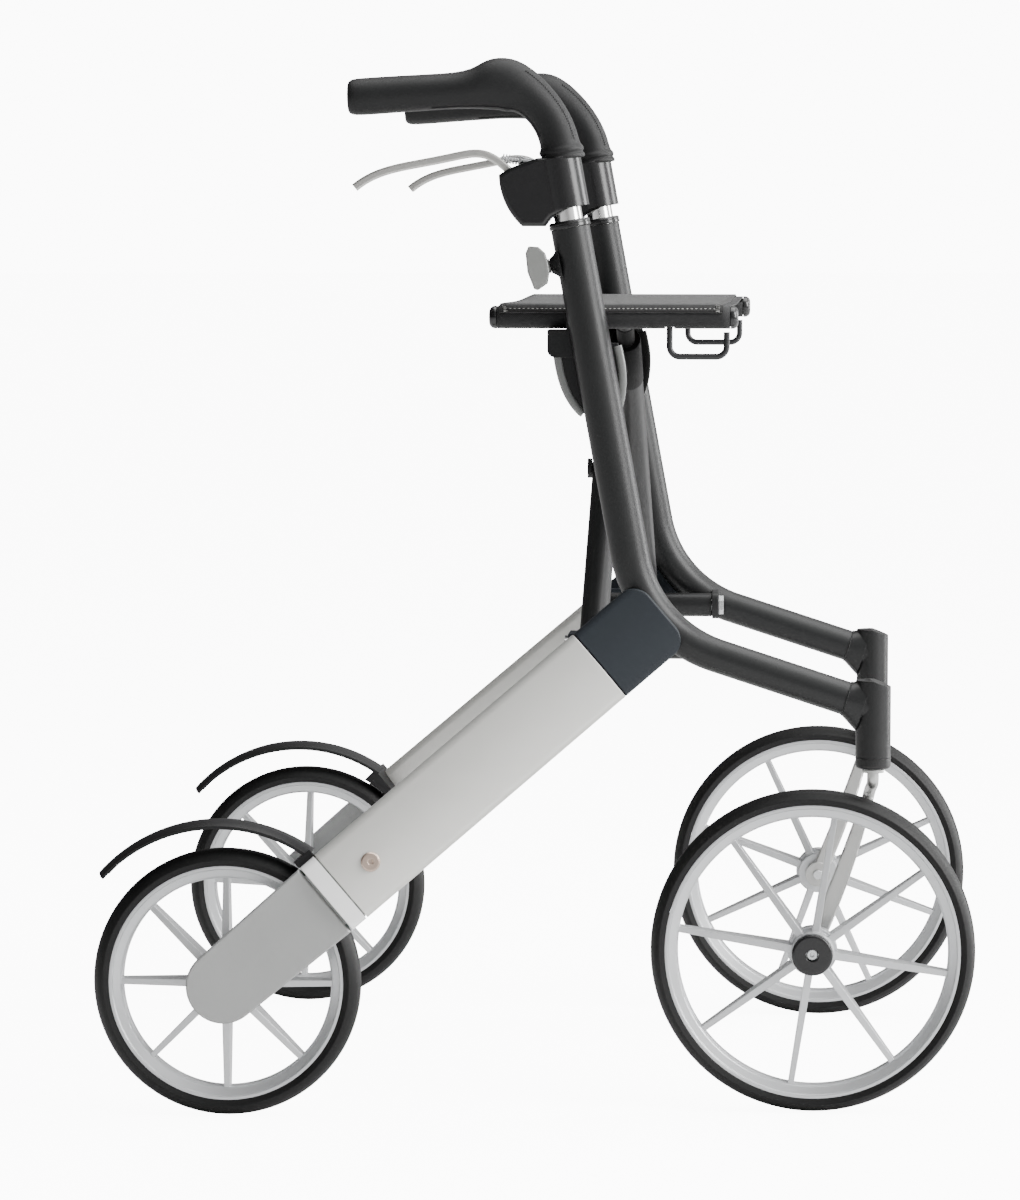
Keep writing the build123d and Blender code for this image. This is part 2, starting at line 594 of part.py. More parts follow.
def rear_axle():
    """Stub axle pressed into the arm plate, with its retaining nut inside the wheel."""
    outer = ARM_PLATE_Y + ARM_PLATE_T - 2 - SNUG
    hub_end = REAR_WHEEL_Y - REAR_HUB_HALF - CLEAR / 2
    axle = cross_rod(REAR_AXLE_X, hub_end - 7, outer, REAR_WHEEL_R, REAR_AXLE_R)
    nut = cross_rod(REAR_AXLE_X, hub_end - 5.5, hub_end, REAR_WHEEL_R, 8.6)
    return axle + fillet(nut.edges().filter_by(GeomType.CIRCLE).sort_by(Axis.Y)[0], 1.6)


def brake_shoe():
    """Pad that slides out of the beam's lower end on to the tyre."""
    shoe = beam_box(BAND_S - 12, BAND_S + BAND_LENGTH + 34, -14, 14, -13.4, -3.6)
    return shoe - cross_rod(
        REAR_AXLE_X, REAR_WHEEL_Y - 60, REAR_WHEEL_Y + 60, REAR_WHEEL_R, REAR_WHEEL_R + WHEEL_WELL
    )


def elbow_casting():
    """Solid knuckle between beam and bent tube, with the rear ear of the lower pivot."""
    bar = beam_bar(CASTING_S0, CASTING_S1 + 10, 0)
    c = cos(BEAM_PITCH)
    k = sin(BEAM_PITCH)
    side = Plane(origin=(REAR_AXLE_X, BEAM_Y_FRONT + 60, REAR_WHEEL_R), x_dir=(c, 0, k), z_dir=(0, -1, 0))
    length = CASTING_S1 - BEAM_ELBOW_S / 2
    trim = Pos(CASTING_S1 - length / 2, 0) * RectangleRounded(length, BEAM_H + 1, CASTING_NOSE_R)
    bar = bar & extrude(side * trim, amount=120)
    bar += beam_bar(BEAM_S1 - SPIGOT_LENGTH, CASTING_S0 + 1, BEAM_WALL + SNUG)
    y0 = PIVOT_HALF - EAR_HALF
    z0 = PIVOT_Z - EAR_HALF
    z1 = PIVOT_Z + EAR_HALF
    ear = block(EAR_REAR_X, EAR_REAR_X + EAR_T, y0, FRAME_HALF + 1, z0, z1)
    ear = fillet(ear.edges().filter_by(Axis.X).sort_by(Axis.Y)[:2], EAR_HALF * 0.8)
    web = block(EAR_REAR_X, ELBOW.X - 4, FRAME_HALF - 9, FRAME_HALF + 1, z0, z1)
    return bar + ear + web - frame_bar(SNUG) - pivot_hole()


def mudguard():
    """Crowned strip over the rear wheel, with the block that holds it to the arm's neck."""
    edge = GUARD_R - GUARD_CROWN
    section = make_face([
        ThreePointArc((edge, -GUARD_HALF_W), (GUARD_R, 0), (edge, GUARD_HALF_W)),
        Line((edge, GUARD_HALF_W), (edge - GUARD_T, GUARD_HALF_W)),
        ThreePointArc((edge - GUARD_T, GUARD_HALF_W), (GUARD_R - GUARD_T, 0), (edge - GUARD_T, -GUARD_HALF_W)),
        Line((edge - GUARD_T, -GUARD_HALF_W), (edge, -GUARD_HALF_W)),
    ])
    strip = revolve(section, Axis.Y, GUARD_TO_DEG - GUARD_FROM_DEG)
    strip = Rot(0, -GUARD_FROM_DEG, 0) * Rot(0, GUARD_FROM_DEG - GUARD_TO_DEG, 0) * strip
    centre_x = REAR_AXLE_X - GUARD_SHIFT
    strip = Pos(centre_x, REAR_WHEEL_Y, REAR_WHEEL_R) * strip
    return strip + mudguard_block()


def mudguard_block():
    low = BAND_S - 1
    foot = beam_box(low, BAND_S + BAND_LENGTH + 1, 8, BEAM_H / 2 + 6, -BEAM_T / 2 - 13, 0)
    foot -= beam_bar(low - 20, BEAM_S0 + 20, -SNUG)
    return foot - wheel_well()


# ---- scissor arms, pins and rails

def scissor_arm(x, side):
    """One arm with its pivot sleeve and its seat rail. side is +1 when the rail is on the left."""
    foot = Vector(x, -side * PIVOT_HALF, PIVOT_Z)
    top = Vector(x, side * PIVOT_HALF, RAIL_Z)
    along = (top - foot).normalized()
    body = rod(foot, top - along * ARM_NECK_LENGTH, ARM_R)
    body += rod(top - along * (ARM_NECK_LENGTH + 2), top, ARM_NECK_R)
    sleeve_x0 = EAR_REAR_X + EAR_T + CLEAR / 2
    sleeve_x1 = EAR_FRONT_X - CLEAR / 2
    body += rod(Vector(sleeve_x0, foot.Y, foot.Z), Vector(sleeve_x1, foot.Y, foot.Z), PIVOT_SLEEVE_R)
    rail_x0 = SEAT_X - SEAT_DEPTH / 2 + RAIL_KNOB_L
    rail_x1 = SEAT_X + SEAT_DEPTH / 2 - RAIL_KNOB_L
    body += rod(Vector(rail_x0, top.Y, top.Z), Vector(rail_x1, top.Y, top.Z), RAIL_R)
    body -= rod(Vector(rail_x0 - 1, top.Y, top.Z), Vector(rail_x1 + 1, top.Y, top.Z), RAIL_R - RAIL_WALL)
    pin_space = Vector(SEAT_DEPTH, 0, 0)
    body -= rod(foot - pin_space, foot + pin_space, PIVOT_PIN_R + RUN)
    hook = Vector(HOOK_X, top.Y, top.Z)
    return body - rod(hook - Vector(0, 0, RAIL_R + 2), hook, HOOK_WIRE_R + SNUG / 2)


def scissor_arm_front():
    """Front arm, from the left pivot to the right rail, with the crossing stud welded to it."""
    stud_end = ARM_REAR_X - ARM_R - 4
    arm = scissor_arm(ARM_FRONT_X, -1)
    arm += rod(Vector(ARM_FRONT_X, 0, CROSS_Z), Vector(stud_end, 0, CROSS_Z), PIVOT_PIN_R)
    head = rod(Vector(stud_end, 0, CROSS_Z), Vector(stud_end + 3.4, 0, CROSS_Z), PIVOT_PIN_R + 3)
    return arm + head


def scissor_arm_rear():
    """Rear arm, from the right pivot to the left rail, which turns on the stud."""
    arm = scissor_arm(ARM_REAR_X, 1)
    reach = Vector(ARM_R * 2, 0, 0)
    middle = Vector(ARM_REAR_X, 0, CROSS_Z)
    return arm - rod(middle - reach, middle + reach, PIVOT_PIN_R + RUN)


def pivot_pin():
    head_x = EAR_REAR_X - SNUG
    end_x = EAR_FRONT_X + EAR_T + SNUG
    pin = rod(Vector(head_x - 3, PIVOT_HALF, PIVOT_Z), Vector(end_x + 3, PIVOT_HALF, PIVOT_Z), PIVOT_PIN_R)
    pin += rod(Vector(head_x - 4, PIVOT_HALF, PIVOT_Z), Vector(head_x, PIVOT_HALF, PIVOT_Z), PIVOT_PIN_R + 3)
    nut = Plane(origin=(end_x, PIVOT_HALF, PIVOT_Z), z_dir=(1, 0, 0)) * RegularPolygon(PIVOT_PIN_R + 3, 6)
    return pin + extrude(nut, amount=4)


def rail_knobs():
    knobs = []
    for end in (-1, 1):
        x1 = SEAT_X + end * SEAT_DEPTH / 2
        x0 = x1 - end * (RAIL_KNOB_L - SNUG)
        knob = rod(Vector(x0, PIVOT_HALF, RAIL_Z), Vector(x1, PIVOT_HALF, RAIL_Z), RAIL_KNOB_R)
        edges = knob.edges().filter_by(GeomType.CIRCLE).sort_by(Axis.X)
        knob = fillet(edges[-1] if end > 0 else edges[0], 4.5)
        plug_r = RAIL_R - RAIL_WALL - SNUG
        plug = rod(Vector(x0 - end * 12, PIVOT_HALF, RAIL_Z), Vector(x0 + end, PIVOT_HALF, RAIL_Z), plug_r)
        knobs.append(knob + plug)
    return Compound(knobs)


def bag_hook():
    low = RAIL_Z - HOOK_DROP
    path = FilletPolyline(
        Vector(HOOK_X, PIVOT_HALF, RAIL_Z - 1),
        Vector(HOOK_X, PIVOT_HALF, low),
        Vector(HOOK_X + HOOK_REACH, PIVOT_HALF, low),
        Vector(HOOK_X + HOOK_REACH, PIVOT_HALF, low + HOOK_TIP + HOOK_BEND_R),
        radius=HOOK_BEND_R,
    )
    return path_tube(path, HOOK_WIRE_R)


def seat_fabric(arm_x):
    """Left half of the seat sling: a sleeve on the rail and a flat web to the centre line."""
    x0 = SEAT_X - SEAT_DEPTH / 2 + RAIL_KNOB_L + FABRIC_END
    x1 = SEAT_X + SEAT_DEPTH / 2 - RAIL_KNOB_L - FABRIC_END
    top = RAIL_Z + SLEEVE_R
    sleeve = rod(Vector(x0, PIVOT_HALF, RAIL_Z), Vector(x1, PIVOT_HALF, RAIL_Z), SLEEVE_R)
    web = block(x0, x1, SEAT_SPLIT / 2, PIVOT_HALF, top - FABRIC_T, top)
    cloth = sleeve + web
    cloth -= rod(Vector(x0 - 1, PIVOT_HALF, RAIL_Z), Vector(x1 + 1, PIVOT_HALF, RAIL_Z), SLEEVE_R - FABRIC_T)
    low = RAIL_Z - SLEEVE_R - 1
    notch_r = ARM_NECK_R + CLEAR
    cloth -= block(arm_x - notch_r, arm_x + notch_r, PIVOT_HALF - 20, PIVOT_HALF + 8, low, RAIL_Z + 4)
    hook_r = HOOK_WIRE_R + CLEAR
    return cloth - block(HOOK_X - hook_r, HOOK_X + hook_r, PIVOT_HALF - 6, PIVOT_HALF + 6, low, RAIL_Z)


def seat_cradle():
    """Bracket on the inside of the upright; the open seat's rail lies on its saddle."""
    rear_x = SEAT_X - 50.0
    saddle_z = RAIL_Z - SLEEVE_R - CLEAR / 2
    inner = PIVOT_HALF - SLEEVE_R - 2.5
    face = FRAME_HALF - UPRIGHT_R - 0.5
    pad = block(rear_x, rear_x + 25.5, inner, face + 8, saddle_z - 21, saddle_z)
    pad = fillet(pad.edges().filter_by(Axis.Y).group_by(Axis.X)[0].sort_by(Axis.Z)[0], 6.0)
    fork_part = block(rear_x + 14.5, rear_x + 25.5, inner, face + 8, saddle_z - 8, RAIL_Z + 1)
    axis_line = Vector(0, PIVOT_HALF, RAIL_Z)
    groove = rod(axis_line + Vector(rear_x - 5, 0, 0), axis_line + Vector(rear_x + 60, 0, 0), SLEEVE_R + CLEAR / 2)
    shield = make_face([
        Line((rear_x + 6.6, saddle_z - 20), (rear_x + 8, saddle_z - 10)),
        Line((rear_x + 8, saddle_z - 10), (rear_x + 54, saddle_z - 10)),
        ThreePointArc((rear_x + 54, saddle_z - 10), (rear_x + 58.6, saddle_z - 37), (rear_x + 52, saddle_z - 70)),
        Line((rear_x + 52, saddle_z - 70), (rear_x + 28, saddle_z - 64)),
        ThreePointArc((rear_x + 28, saddle_z - 64), (rear_x + 14.2, saddle_z - 43), (rear_x + 6.6, saddle_z - 20)),
    ])
    plate = side_plate(shield, face - 7, face + 5)
    above = block(rear_x - 1, rear_x + 70, PIVOT_HALF - SLEEVE_R - 0.5, PIVOT_HALF + SLEEVE_R + 0.5, RAIL_Z, RAIL_Z + 30)
    body = pad + fork_part + plate - groove - above
    return body - frame_bar(SNUG)


# ---- handle

def handle_path(foot):
    return FilletPolyline(foot, GRIP_CORNER, GRIP_TIP, radius=GRIP_BEND_R)


def handle_tube():
    foot = UPRIGHT_TOP - UP * HANDLE_INSERT
    back = (GRIP_TIP - GRIP_CORNER).normalized()
    end = GRIP_TIP - back * (GRIP_END_WALL + SNUG)
    path = FilletPolyline(foot, GRIP_CORNER, end, radius=GRIP_BEND_R)
    return path_tube(path, HANDLE_TUBE_R) - path_tube(path, HANDLE_TUBE_R - HANDLE_TUBE_WALL)


def grip():
    back = (GRIP_TIP - GRIP_CORNER).normalized()
    body = path_tube(handle_path(GRIP_FOOT), GRIP_R)
    tip_edge = body.edges().filter_by(GeomType.CIRCLE).sort_by(Axis.X)[0]
    body = fillet(tip_edge, 4.5)
    body += rod(GRIP_FOOT, GRIP_FOOT + UP * 6.5, GRIP_R + 1.6)
    palm = GRIP_CORNER + back * 34 + Vector(0, 0, 4.5)
    body += Pos(palm.X, palm.Y, palm.Z) * scale(Sphere(1), by=(30.0, 17.0, 19.0))
    end = GRIP_TIP - back * GRIP_END_WALL
    bore = FilletPolyline(GRIP_FOOT - UP, GRIP_CORNER, end, radius=GRIP_BEND_R)
    return body - path_tube(bore, HANDLE_TUBE_R + SNUG)


def brake_housing():
    """Moulded housing clamped on the handle tube, with the lever's slot and pin."""
    x = UPRIGHT_TOP.X
    z = UPRIGHT_TOP.Z
    outline = make_face([
        Line((x - 54.0, z + 40.3), (x - 45.5, z + 45.5)),
        Line((x - 45.5, z + 45.5), (x - 24.5, z + 53.0)),
        Line((x - 24.5, z + 53.0), (x - 2.0, z + 54.5)),
        Line((x - 2.0, z + 54.5), (x + 4.0, z + 17.0)),
        Line((x + 4.0, z + 17.0), (x - 14.0, z + 8.0)),
        Line((x - 14.0, z + 8.0), (x - 19.5, z + 1.0)),
        Line((x - 19.5, z + 1.0), (x - 36.0, z + 1.0)),
        ThreePointArc((x - 36.0, z + 1.0), (x - 49.0, z + 18.5), (x - 54.0, z + 40.3)),
    ])
    body = side_plate(outline, FRAME_HALF - HOUSING_HALF, FRAME_HALF + HOUSING_HALF)
    body = fillet(body.faces().sort_by(Axis.Y)[-1].edges(), 3.0)
    body = fillet(body.faces().sort_by(Axis.Y)[0].edges(), 3.0)
    body += rod(UPRIGHT_TOP + UP * 15.0, UPRIGHT_TOP + UP * 54.5, HOUSING_COLLAR_R)
    body -= rod(UPRIGHT_TOP, UPRIGHT_TOP + UP * 80, HANDLE_TUBE_R + SNUG)
    slot = LEVER_HALF + 2 * CLEAR
    pivot = LEVER_PIVOT
    body -= block(pivot.X - 30, pivot.X + 13, FRAME_HALF - slot, FRAME_HALF + slot, pivot.Z - 9, pivot.Z + 30)
    return body + cross_rod(pivot.X, FRAME_HALF - slot - 2, FRAME_HALF + slot + 2, pivot.Z, LEVER_PIN_R)


def brake_lever():
    """Cranked flat lever: up and back out of the housing, then level, with a turned-down tip."""
    x = LEVER_PIVOT.X
    z = LEVER_PIVOT.Z
    stations = [(0, 0), (-15.0, 15.0), (-24.0, 19.5), (-48.0, 18.0), (-76.0, 12.5), (-106.0, 5.0), (-124.0, -5.5)]
    path = Spline(*[Vector(x + dx, FRAME_HALF, z + dz) for dx, dz in stations])
    section = Plane(origin=path @ 0, x_dir=(0, 1, 0), z_dir=path % 0) * RectangleRounded(
        2 * LEVER_HALF, LEVER_T, LEVER_EDGE_R
    )
    bar = sweep(section, path=path)
    bar += cross_rod(x, FRAME_HALF - LEVER_HALF, FRAME_HALF + LEVER_HALF, z, LEVER_PIN_R + 3.4)
    swing = Pos(x, FRAME_HALF, 0) * Rot(0, 0, -LEVER_SPLAY_DEG) * Pos(-x, -FRAME_HALF, 0)
    return swing * bar - cross_rod(x, FRAME_HALF - 20, FRAME_HALF + 20, z, LEVER_PIN_R + RUN)


def height_knob():
    """Wing knob whose stud clamps the handle tube."""
    start = KNOB_AXIS + BACK * (UPRIGHT_R + KNOB_BOSS_LENGTH + CLEAR / 2)
    face = Plane(origin=start + Vector(0, KNOB_HALF, 0), x_dir=BACK, z_dir=(0, -1, 0))
    wings = Polygon(
        (0.6, 4.0), (3.7, 12.8), (11.8, 16.6), (14.6, 15.2), (17.3, 1.5), (16.1, -13.1),
        (13.0, -17.8), (5.9, -16.0), (1.6, -10.5), (0.6, -4.0), align=None,
    )
    upper = Polygon((9.9, -15.2), (5.6, -14.0), (2.4, -9.6), (4.0, -8.2), align=None)
    lower = Polygon((2.9, 2.6), (2.4, 5.6), (4.8, 11.8), (11.0, 12.6), align=None)
    knob = extrude(face * wings, amount=2 * KNOB_HALF)
    knob = fillet(knob.edges().filter_by(Axis.Y), 1.5)
    knob = fillet(knob.faces().sort_by(Axis.Y)[0].edges() + knob.faces().sort_by(Axis.Y)[-1].edges(), 1.0)
    for hollow in (upper, lower):
        knob -= extrude(face * hollow, amount=KNOB_POCKET)
        knob -= extrude(face.offset(2 * KNOB_HALF - KNOB_POCKET) * hollow, amount=KNOB_POCKET)
    knob += rod(start, start + BACK * 6, 5.4)
    return knob + rod(KNOB_AXIS + BACK * (HANDLE_TUBE_R + CLEAR / 2), start + BACK, KNOB_STUD_R)


def mirrored(shape):
    return mirror(shape, about=Plane.XZ)


def left_parts(side):
    """The pieces of one side, drawn on the left. side chooses the arm under the rail and the wheels' turn."""
    arm_x = ARM_REAR_X if side == "left" else ARM_FRONT_X
    return {
        "frame": frame(),
        "head_bearings": head_bearings(),
        "fork": fork(),
        "front_axle": front_axle(),
        "front_rim": front_rim(FRONT_SPOKE_DEG[side]),
        "front_tyre": at_front(tyre(FRONT_WHEEL_R, FRONT_TYRE_H)),
        "front_bearings": at_front(bearings(
            FRONT_BEARING_R, FRONT_BEARING_W, FRONT_AXLE_R, FRONT_HUB_HALF, HUB_CAP_SPIGOT)),
        "hub_cap": hub_cap(),
        "elbow_casting": elbow_casting(),
        "beam": beam(),
        "beam_bolt": beam_bolt(),
        "reflector_band": reflector(),
        "wheel_arm": wheel_arm(),
        "mudguard": mudguard(),
        "rear_axle": rear_axle(),
        "rear_rim": rear_rim(REAR_SPOKE_DEG[side]),
        "rear_tyre": at_rear(tyre(REAR_WHEEL_R, REAR_TYRE_H)),
        "rear_bearings": at_rear(bearings(
            REAR_BEARING_R, REAR_BEARING_W, REAR_AXLE_R, REAR_HUB_HALF, 0)),
        "brake_shoe": brake_shoe(),
        "handle_tube": handle_tube(),
        "grip": grip(),
        "brake_housing": brake_housing(),
        "brake_lever": brake_lever(),
        "height_knob": height_knob(),
        "seat_cradle": seat_cradle(),
        "pivot_pin": pivot_pin(),
        "rail_knobs": rail_knobs(),
        "bag_hook": bag_hook(),
        "seat_fabric": seat_fabric(arm_x),
    }


def main():
    os.makedirs("parts", exist_ok=True)
    pieces = {"scissor_arm_front": scissor_arm_front(), "scissor_arm_rear": scissor_arm_rear()}
    for name, shape in left_parts("left").items():
        pieces[f"{name}_left"] = shape
    for name, shape in left_parts("right").items():
        pieces[f"{name}_right"] = mirrored(shape)
    for name, shape in pieces.items():
        export_step(shape, f"parts/{name}.step")


main()
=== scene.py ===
"""Folding rollator walker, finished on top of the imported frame. Metres, in the frame's own axes."""
import json
import math

import bmesh
import bpy
from mathutils import Matrix, Vector


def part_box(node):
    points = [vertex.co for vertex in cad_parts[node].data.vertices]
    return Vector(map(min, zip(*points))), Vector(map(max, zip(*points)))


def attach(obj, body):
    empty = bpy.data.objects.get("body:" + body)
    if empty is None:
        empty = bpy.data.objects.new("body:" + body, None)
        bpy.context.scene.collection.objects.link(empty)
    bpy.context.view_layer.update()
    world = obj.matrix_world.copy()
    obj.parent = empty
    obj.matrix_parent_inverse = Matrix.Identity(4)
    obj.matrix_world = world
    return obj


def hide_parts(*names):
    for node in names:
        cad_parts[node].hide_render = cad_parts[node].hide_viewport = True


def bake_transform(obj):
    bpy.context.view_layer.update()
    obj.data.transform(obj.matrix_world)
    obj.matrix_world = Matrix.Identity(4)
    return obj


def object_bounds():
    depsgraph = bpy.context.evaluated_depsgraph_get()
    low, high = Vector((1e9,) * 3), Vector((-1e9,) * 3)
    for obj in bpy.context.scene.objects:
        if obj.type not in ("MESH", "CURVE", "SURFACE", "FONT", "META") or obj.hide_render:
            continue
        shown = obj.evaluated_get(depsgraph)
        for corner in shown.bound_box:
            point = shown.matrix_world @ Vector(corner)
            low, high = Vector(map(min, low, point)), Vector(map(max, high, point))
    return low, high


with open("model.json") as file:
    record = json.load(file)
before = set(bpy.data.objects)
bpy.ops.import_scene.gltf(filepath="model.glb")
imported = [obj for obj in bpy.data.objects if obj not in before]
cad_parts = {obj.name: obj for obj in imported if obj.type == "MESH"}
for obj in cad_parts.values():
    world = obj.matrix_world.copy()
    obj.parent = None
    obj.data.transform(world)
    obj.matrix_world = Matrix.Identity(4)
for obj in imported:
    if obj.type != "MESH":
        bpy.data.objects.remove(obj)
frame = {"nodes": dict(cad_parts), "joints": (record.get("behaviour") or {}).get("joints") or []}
cad_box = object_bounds()
nodes = frame["nodes"]
joints = {j["name"]: j for j in frame["joints"]}
SIDES = {"right": -1, "left": 1}
MM = 0.001
X, Y, Z = Vector((1, 0, 0)), Vector((0, 1, 0)), Vector((0, 0, 1))


# ---- shader groups shared by several finishes

def group(name, inputs, outputs):
    tree = bpy.data.node_groups.new(name, "ShaderNodeTree")
    for label, kind, value in inputs:
        socket = tree.interface.new_socket(name=label, in_out="INPUT", socket_type=kind)
        if value is not None:
            socket.default_value = value
    for label, kind in outputs:
        tree.interface.new_socket(name=label, in_out="OUTPUT", socket_type=kind)
    return tree, tree.nodes.new("NodeGroupInput"), tree.nodes.new("NodeGroupOutput")


def add(tree, kind, links=(), **settings):
    """A node with its settings; links are (input, socket) pairs, numbers go in as values."""
    made = tree.nodes.new(kind)
    for key, value in settings.items():
        setattr(made, key, value)
    for key, value in links:
        if isinstance(value, bpy.types.NodeSocket):
            tree.links.new(value, made.inputs[key])
        else:
            made.inputs[key].default_value = value
    return made


def maths(tree, operation, a, b=0.0):
    return add(tree, "ShaderNodeMath", [(0, a), (1, b)], operation=operation).outputs[0]


def noise(tree, place, scale, detail):
    links = [("Vector", place), ("Scale", scale), ("Detail", detail)]
    return add(tree, "ShaderNodeTexNoise", links).outputs["Fac"]


def grain_group():
    """Fine moulded or sprayed grain: a height, and a roughness that drifts slowly."""
    tree, i, o = group(
        "surface_grain",
        [("Vector", "NodeSocketVector", None), ("Scale", "NodeSocketFloat", 900.0),
         ("Roughness", "NodeSocketFloat", 0.5), ("Spread", "NodeSocketFloat", 0.1)],
        [("Height", "NodeSocketFloat"), ("Roughness", "NodeSocketFloat"), ("Cloud", "NodeSocketFloat")])
    fine = noise(tree, i.outputs[0], i.outputs[1], 3.0)
    cloud = noise(tree, i.outputs[0], 22.0, 4.0)
    drift = maths(tree, "MULTIPLY", maths(tree, "SUBTRACT", cloud, 0.5), i.outputs[3])
    speck = maths(tree, "MULTIPLY", maths(tree, "SUBTRACT", fine, 0.5), i.outputs[3])
    total = maths(tree, "ADD", maths(tree, "ADD", drift, speck), i.outputs[2])
    tree.links.new(fine, o.inputs[0])
    tree.links.new(total, o.inputs[1])
    tree.links.new(cloud, o.inputs[2])
    return tree


def tone_group():
    """A colour that drifts a little over the surface."""
    tree, i, o = group(
        "tone_drift",
        [("Colour", "NodeSocketColor", None), ("Cloud", "NodeSocketFloat", 0.5),
         ("Drift", "NodeSocketFloat", 0.2)],
        [("Colour", "NodeSocketColor")])
    shift = maths(tree, "MULTIPLY", maths(tree, "SUBTRACT", i.outputs[1], 0.5), i.outputs[2])
    value = maths(tree, "ADD", shift, 1.0)
    tone = add(tree, "ShaderNodeHueSaturation", [("Value", value), ("Color", i.outputs[0])])
    tree.links.new(tone.outputs[0], o.inputs[0])
    return tree


def edge_group():
    """Mask of the outer edges, lightened partly as wear where paint thins and plastic is scuffed bright,
    partly as a painted highlight; and the eased normal.
    """
    tree, i, o = group(
        "edge_wear_and_highlight",
        [("Broken", "NodeSocketFloat", 0.5), ("Gain", "NodeSocketFloat", 6.0)],
        [("Mask", "NodeSocketFloat"), ("Normal", "NodeSocketVector")])
    eased = add(tree, "ShaderNodeBevel", [("Radius", 0.0011)], samples=4)
    true = add(tree, "ShaderNodeNewGeometry")
    same = add(tree, "ShaderNodeVectorMath", [(0, eased.outputs[0]), (1, true.outputs["Normal"])],
               operation="DOT_PRODUCT")
    edge = maths(tree, "MULTIPLY", maths(tree, "SUBTRACT", 1.0, same.outputs["Value"]), i.outputs[1])
    wear_and_highlight = maths(tree, "MULTIPLY", edge, i.outputs[0])
    held = add(tree, "ShaderNodeClamp", [("Value", wear_and_highlight)])
    tree.links.new(held.outputs[0], o.inputs[0])
    tree.links.new(eased.outputs[0], o.inputs[1])
    return tree


def brushed_group():
    """Fine lines along one direction, as drawn, brushed or anodised metal has."""
    tree, i, o = group(
        "drawn_lines",
        [("Vector", "NodeSocketVector", None), ("Roughness", "NodeSocketFloat", 0.3),
         ("Spread", "NodeSocketFloat", 0.1)],
        [("Height", "NodeSocketFloat"), ("Roughness", "NodeSocketFloat"), ("Cloud", "NodeSocketFloat")])
    lines = noise(tree, i.outputs[0], 1.0, 3.0)
    cloud = noise(tree, i.outputs[0], 0.06, 2.0)
    centred = maths(tree, "SUBTRACT", lines, 0.5)
    total = maths(tree, "ADD", maths(tree, "MULTIPLY", centred, i.outputs[2]), i.outputs[1])
    tree.links.new(lines, o.inputs[0])
    tree.links.new(total, o.inputs[1])
    tree.links.new(cloud, o.inputs[2])
    return tree


def weave_group():
    """Plain weave: warp and weft threads, each passing over the other in turn."""
    tree, i, o = group(
        "plain_weave",
        [("Vector", "NodeSocketVector", None), ("Threads", "NodeSocketFloat", 1400.0)],
        [("Height", "NodeSocketFloat"), ("Warp", "NodeSocketFloat")])
    scaled = add(tree, "ShaderNodeVectorMath", [(0, i.outputs[0]), ("Scale", i.outputs[1])],
                 operation="SCALE")
    parts = add(tree, "ShaderNodeSeparateXYZ", [(0, scaled.outputs[0])])
    across = maths(tree, "SINE", maths(tree, "MULTIPLY", parts.outputs[0], math.pi))
    along = maths(tree, "SINE", maths(tree, "MULTIPLY", parts.outputs[1], math.pi))
    over = maths(tree, "MULTIPLY", across, along)
    warp = maths(tree, "GREATER_THAN", over, 0.0)
    thread = maths(tree, "POWER", maths(tree, "ABSOLUTE", over), 0.5)
    fuzz = noise(tree, scaled.outputs[0], 2.0, 2.0)
    height = maths(tree, "ADD", thread, maths(tree, "MULTIPLY", fuzz, 0.35))
    tree.links.new(height, o.inputs[0])
    tree.links.new(warp, o.inputs[1])
    return tree


GRAIN = grain_group()
TONE = tone_group()
EDGE = edge_group()
LINES = brushed_group()
WEAVE = weave_group()


def finish(name, colour, metal, rough, grain=900.0, depth=0.05, spread=0.1, drift=0.2, wear_and_highlight=0.3,
           wear_highlight_colour=None, coat=0.0, sheen=0.0, stretch=None, turn=(0, 0, 0), specular=0.5):
    """A sprayed, moulded or drawn surface. stretch gives drawn lines, finer across than along."""
    made = bpy.data.materials.new(name)
    made.use_nodes = True
    tree = made.node_tree
    shader = tree.nodes["Principled BSDF"]
    shader.inputs["Metallic"].default_value = metal
    shader.inputs["Specular IOR Level"].default_value = specular
    shader.inputs["Coat Weight"].default_value = coat
    shader.inputs["Coat Roughness"].default_value = 0.2
    shader.inputs["Sheen Weight"].default_value = sheen
    place = add(tree, "ShaderNodeTexCoord").outputs["Object"]
    if stretch:
        links = [("Vector", place), ("Rotation", turn), ("Scale", stretch)]
        place = add(tree, "ShaderNodeMapping", links).outputs[0]
        surface = add(tree, "ShaderNodeGroup", node_tree=LINES)
    else:
        surface = add(tree, "ShaderNodeGroup", node_tree=GRAIN)
        surface.inputs["Scale"].default_value = grain
    tree.links.new(place, surface.inputs["Vector"])
    surface.inputs["Roughness"].default_value = rough
    surface.inputs["Spread"].default_value = spread
    tone = add(tree, "ShaderNodeGroup", node_tree=TONE)
    tone.inputs["Colour"].default_value = (*colour, 1)
    tone.inputs["Drift"].default_value = drift
    tree.links.new(surface.outputs["Cloud"], tone.inputs["Cloud"])
    edge = add(tree, "ShaderNodeGroup", node_tree=EDGE)
    edge.inputs["Gain"].default_value = 4.0 * wear_and_highlight
    tree.links.new(surface.outputs["Cloud"], edge.inputs["Broken"])
    # edge tint: partly wear, partly a painted highlight along the outer edges
    edge_wear_highlight = wear_highlight_colour or tuple(min(1.0, c * 1.8 + 0.03) for c in colour)
    mix = add(tree, "ShaderNodeMix", data_type="RGBA")
    tree.links.new(edge.outputs["Mask"], mix.inputs[0])
    tree.links.new(tone.outputs[0], mix.inputs[6])
    mix.inputs[7].default_value = (*edge_wear_highlight, 1)
    tree.links.new(mix.outputs[2], shader.inputs["Base Color"])
    tree.links.new(surface.outputs["Roughness"], shader.inputs["Roughness"])
    bump = add(tree, "ShaderNodeBump", [("Strength", depth), ("Distance", 0.0005)])
    tree.links.new(surface.outputs["Height"], bump.inputs["Height"])
    tree.links.new(edge.outputs["Normal"], bump.inputs["Normal"])
    tree.links.new(bump.outputs[0], shader.inputs["Normal"])
    return made


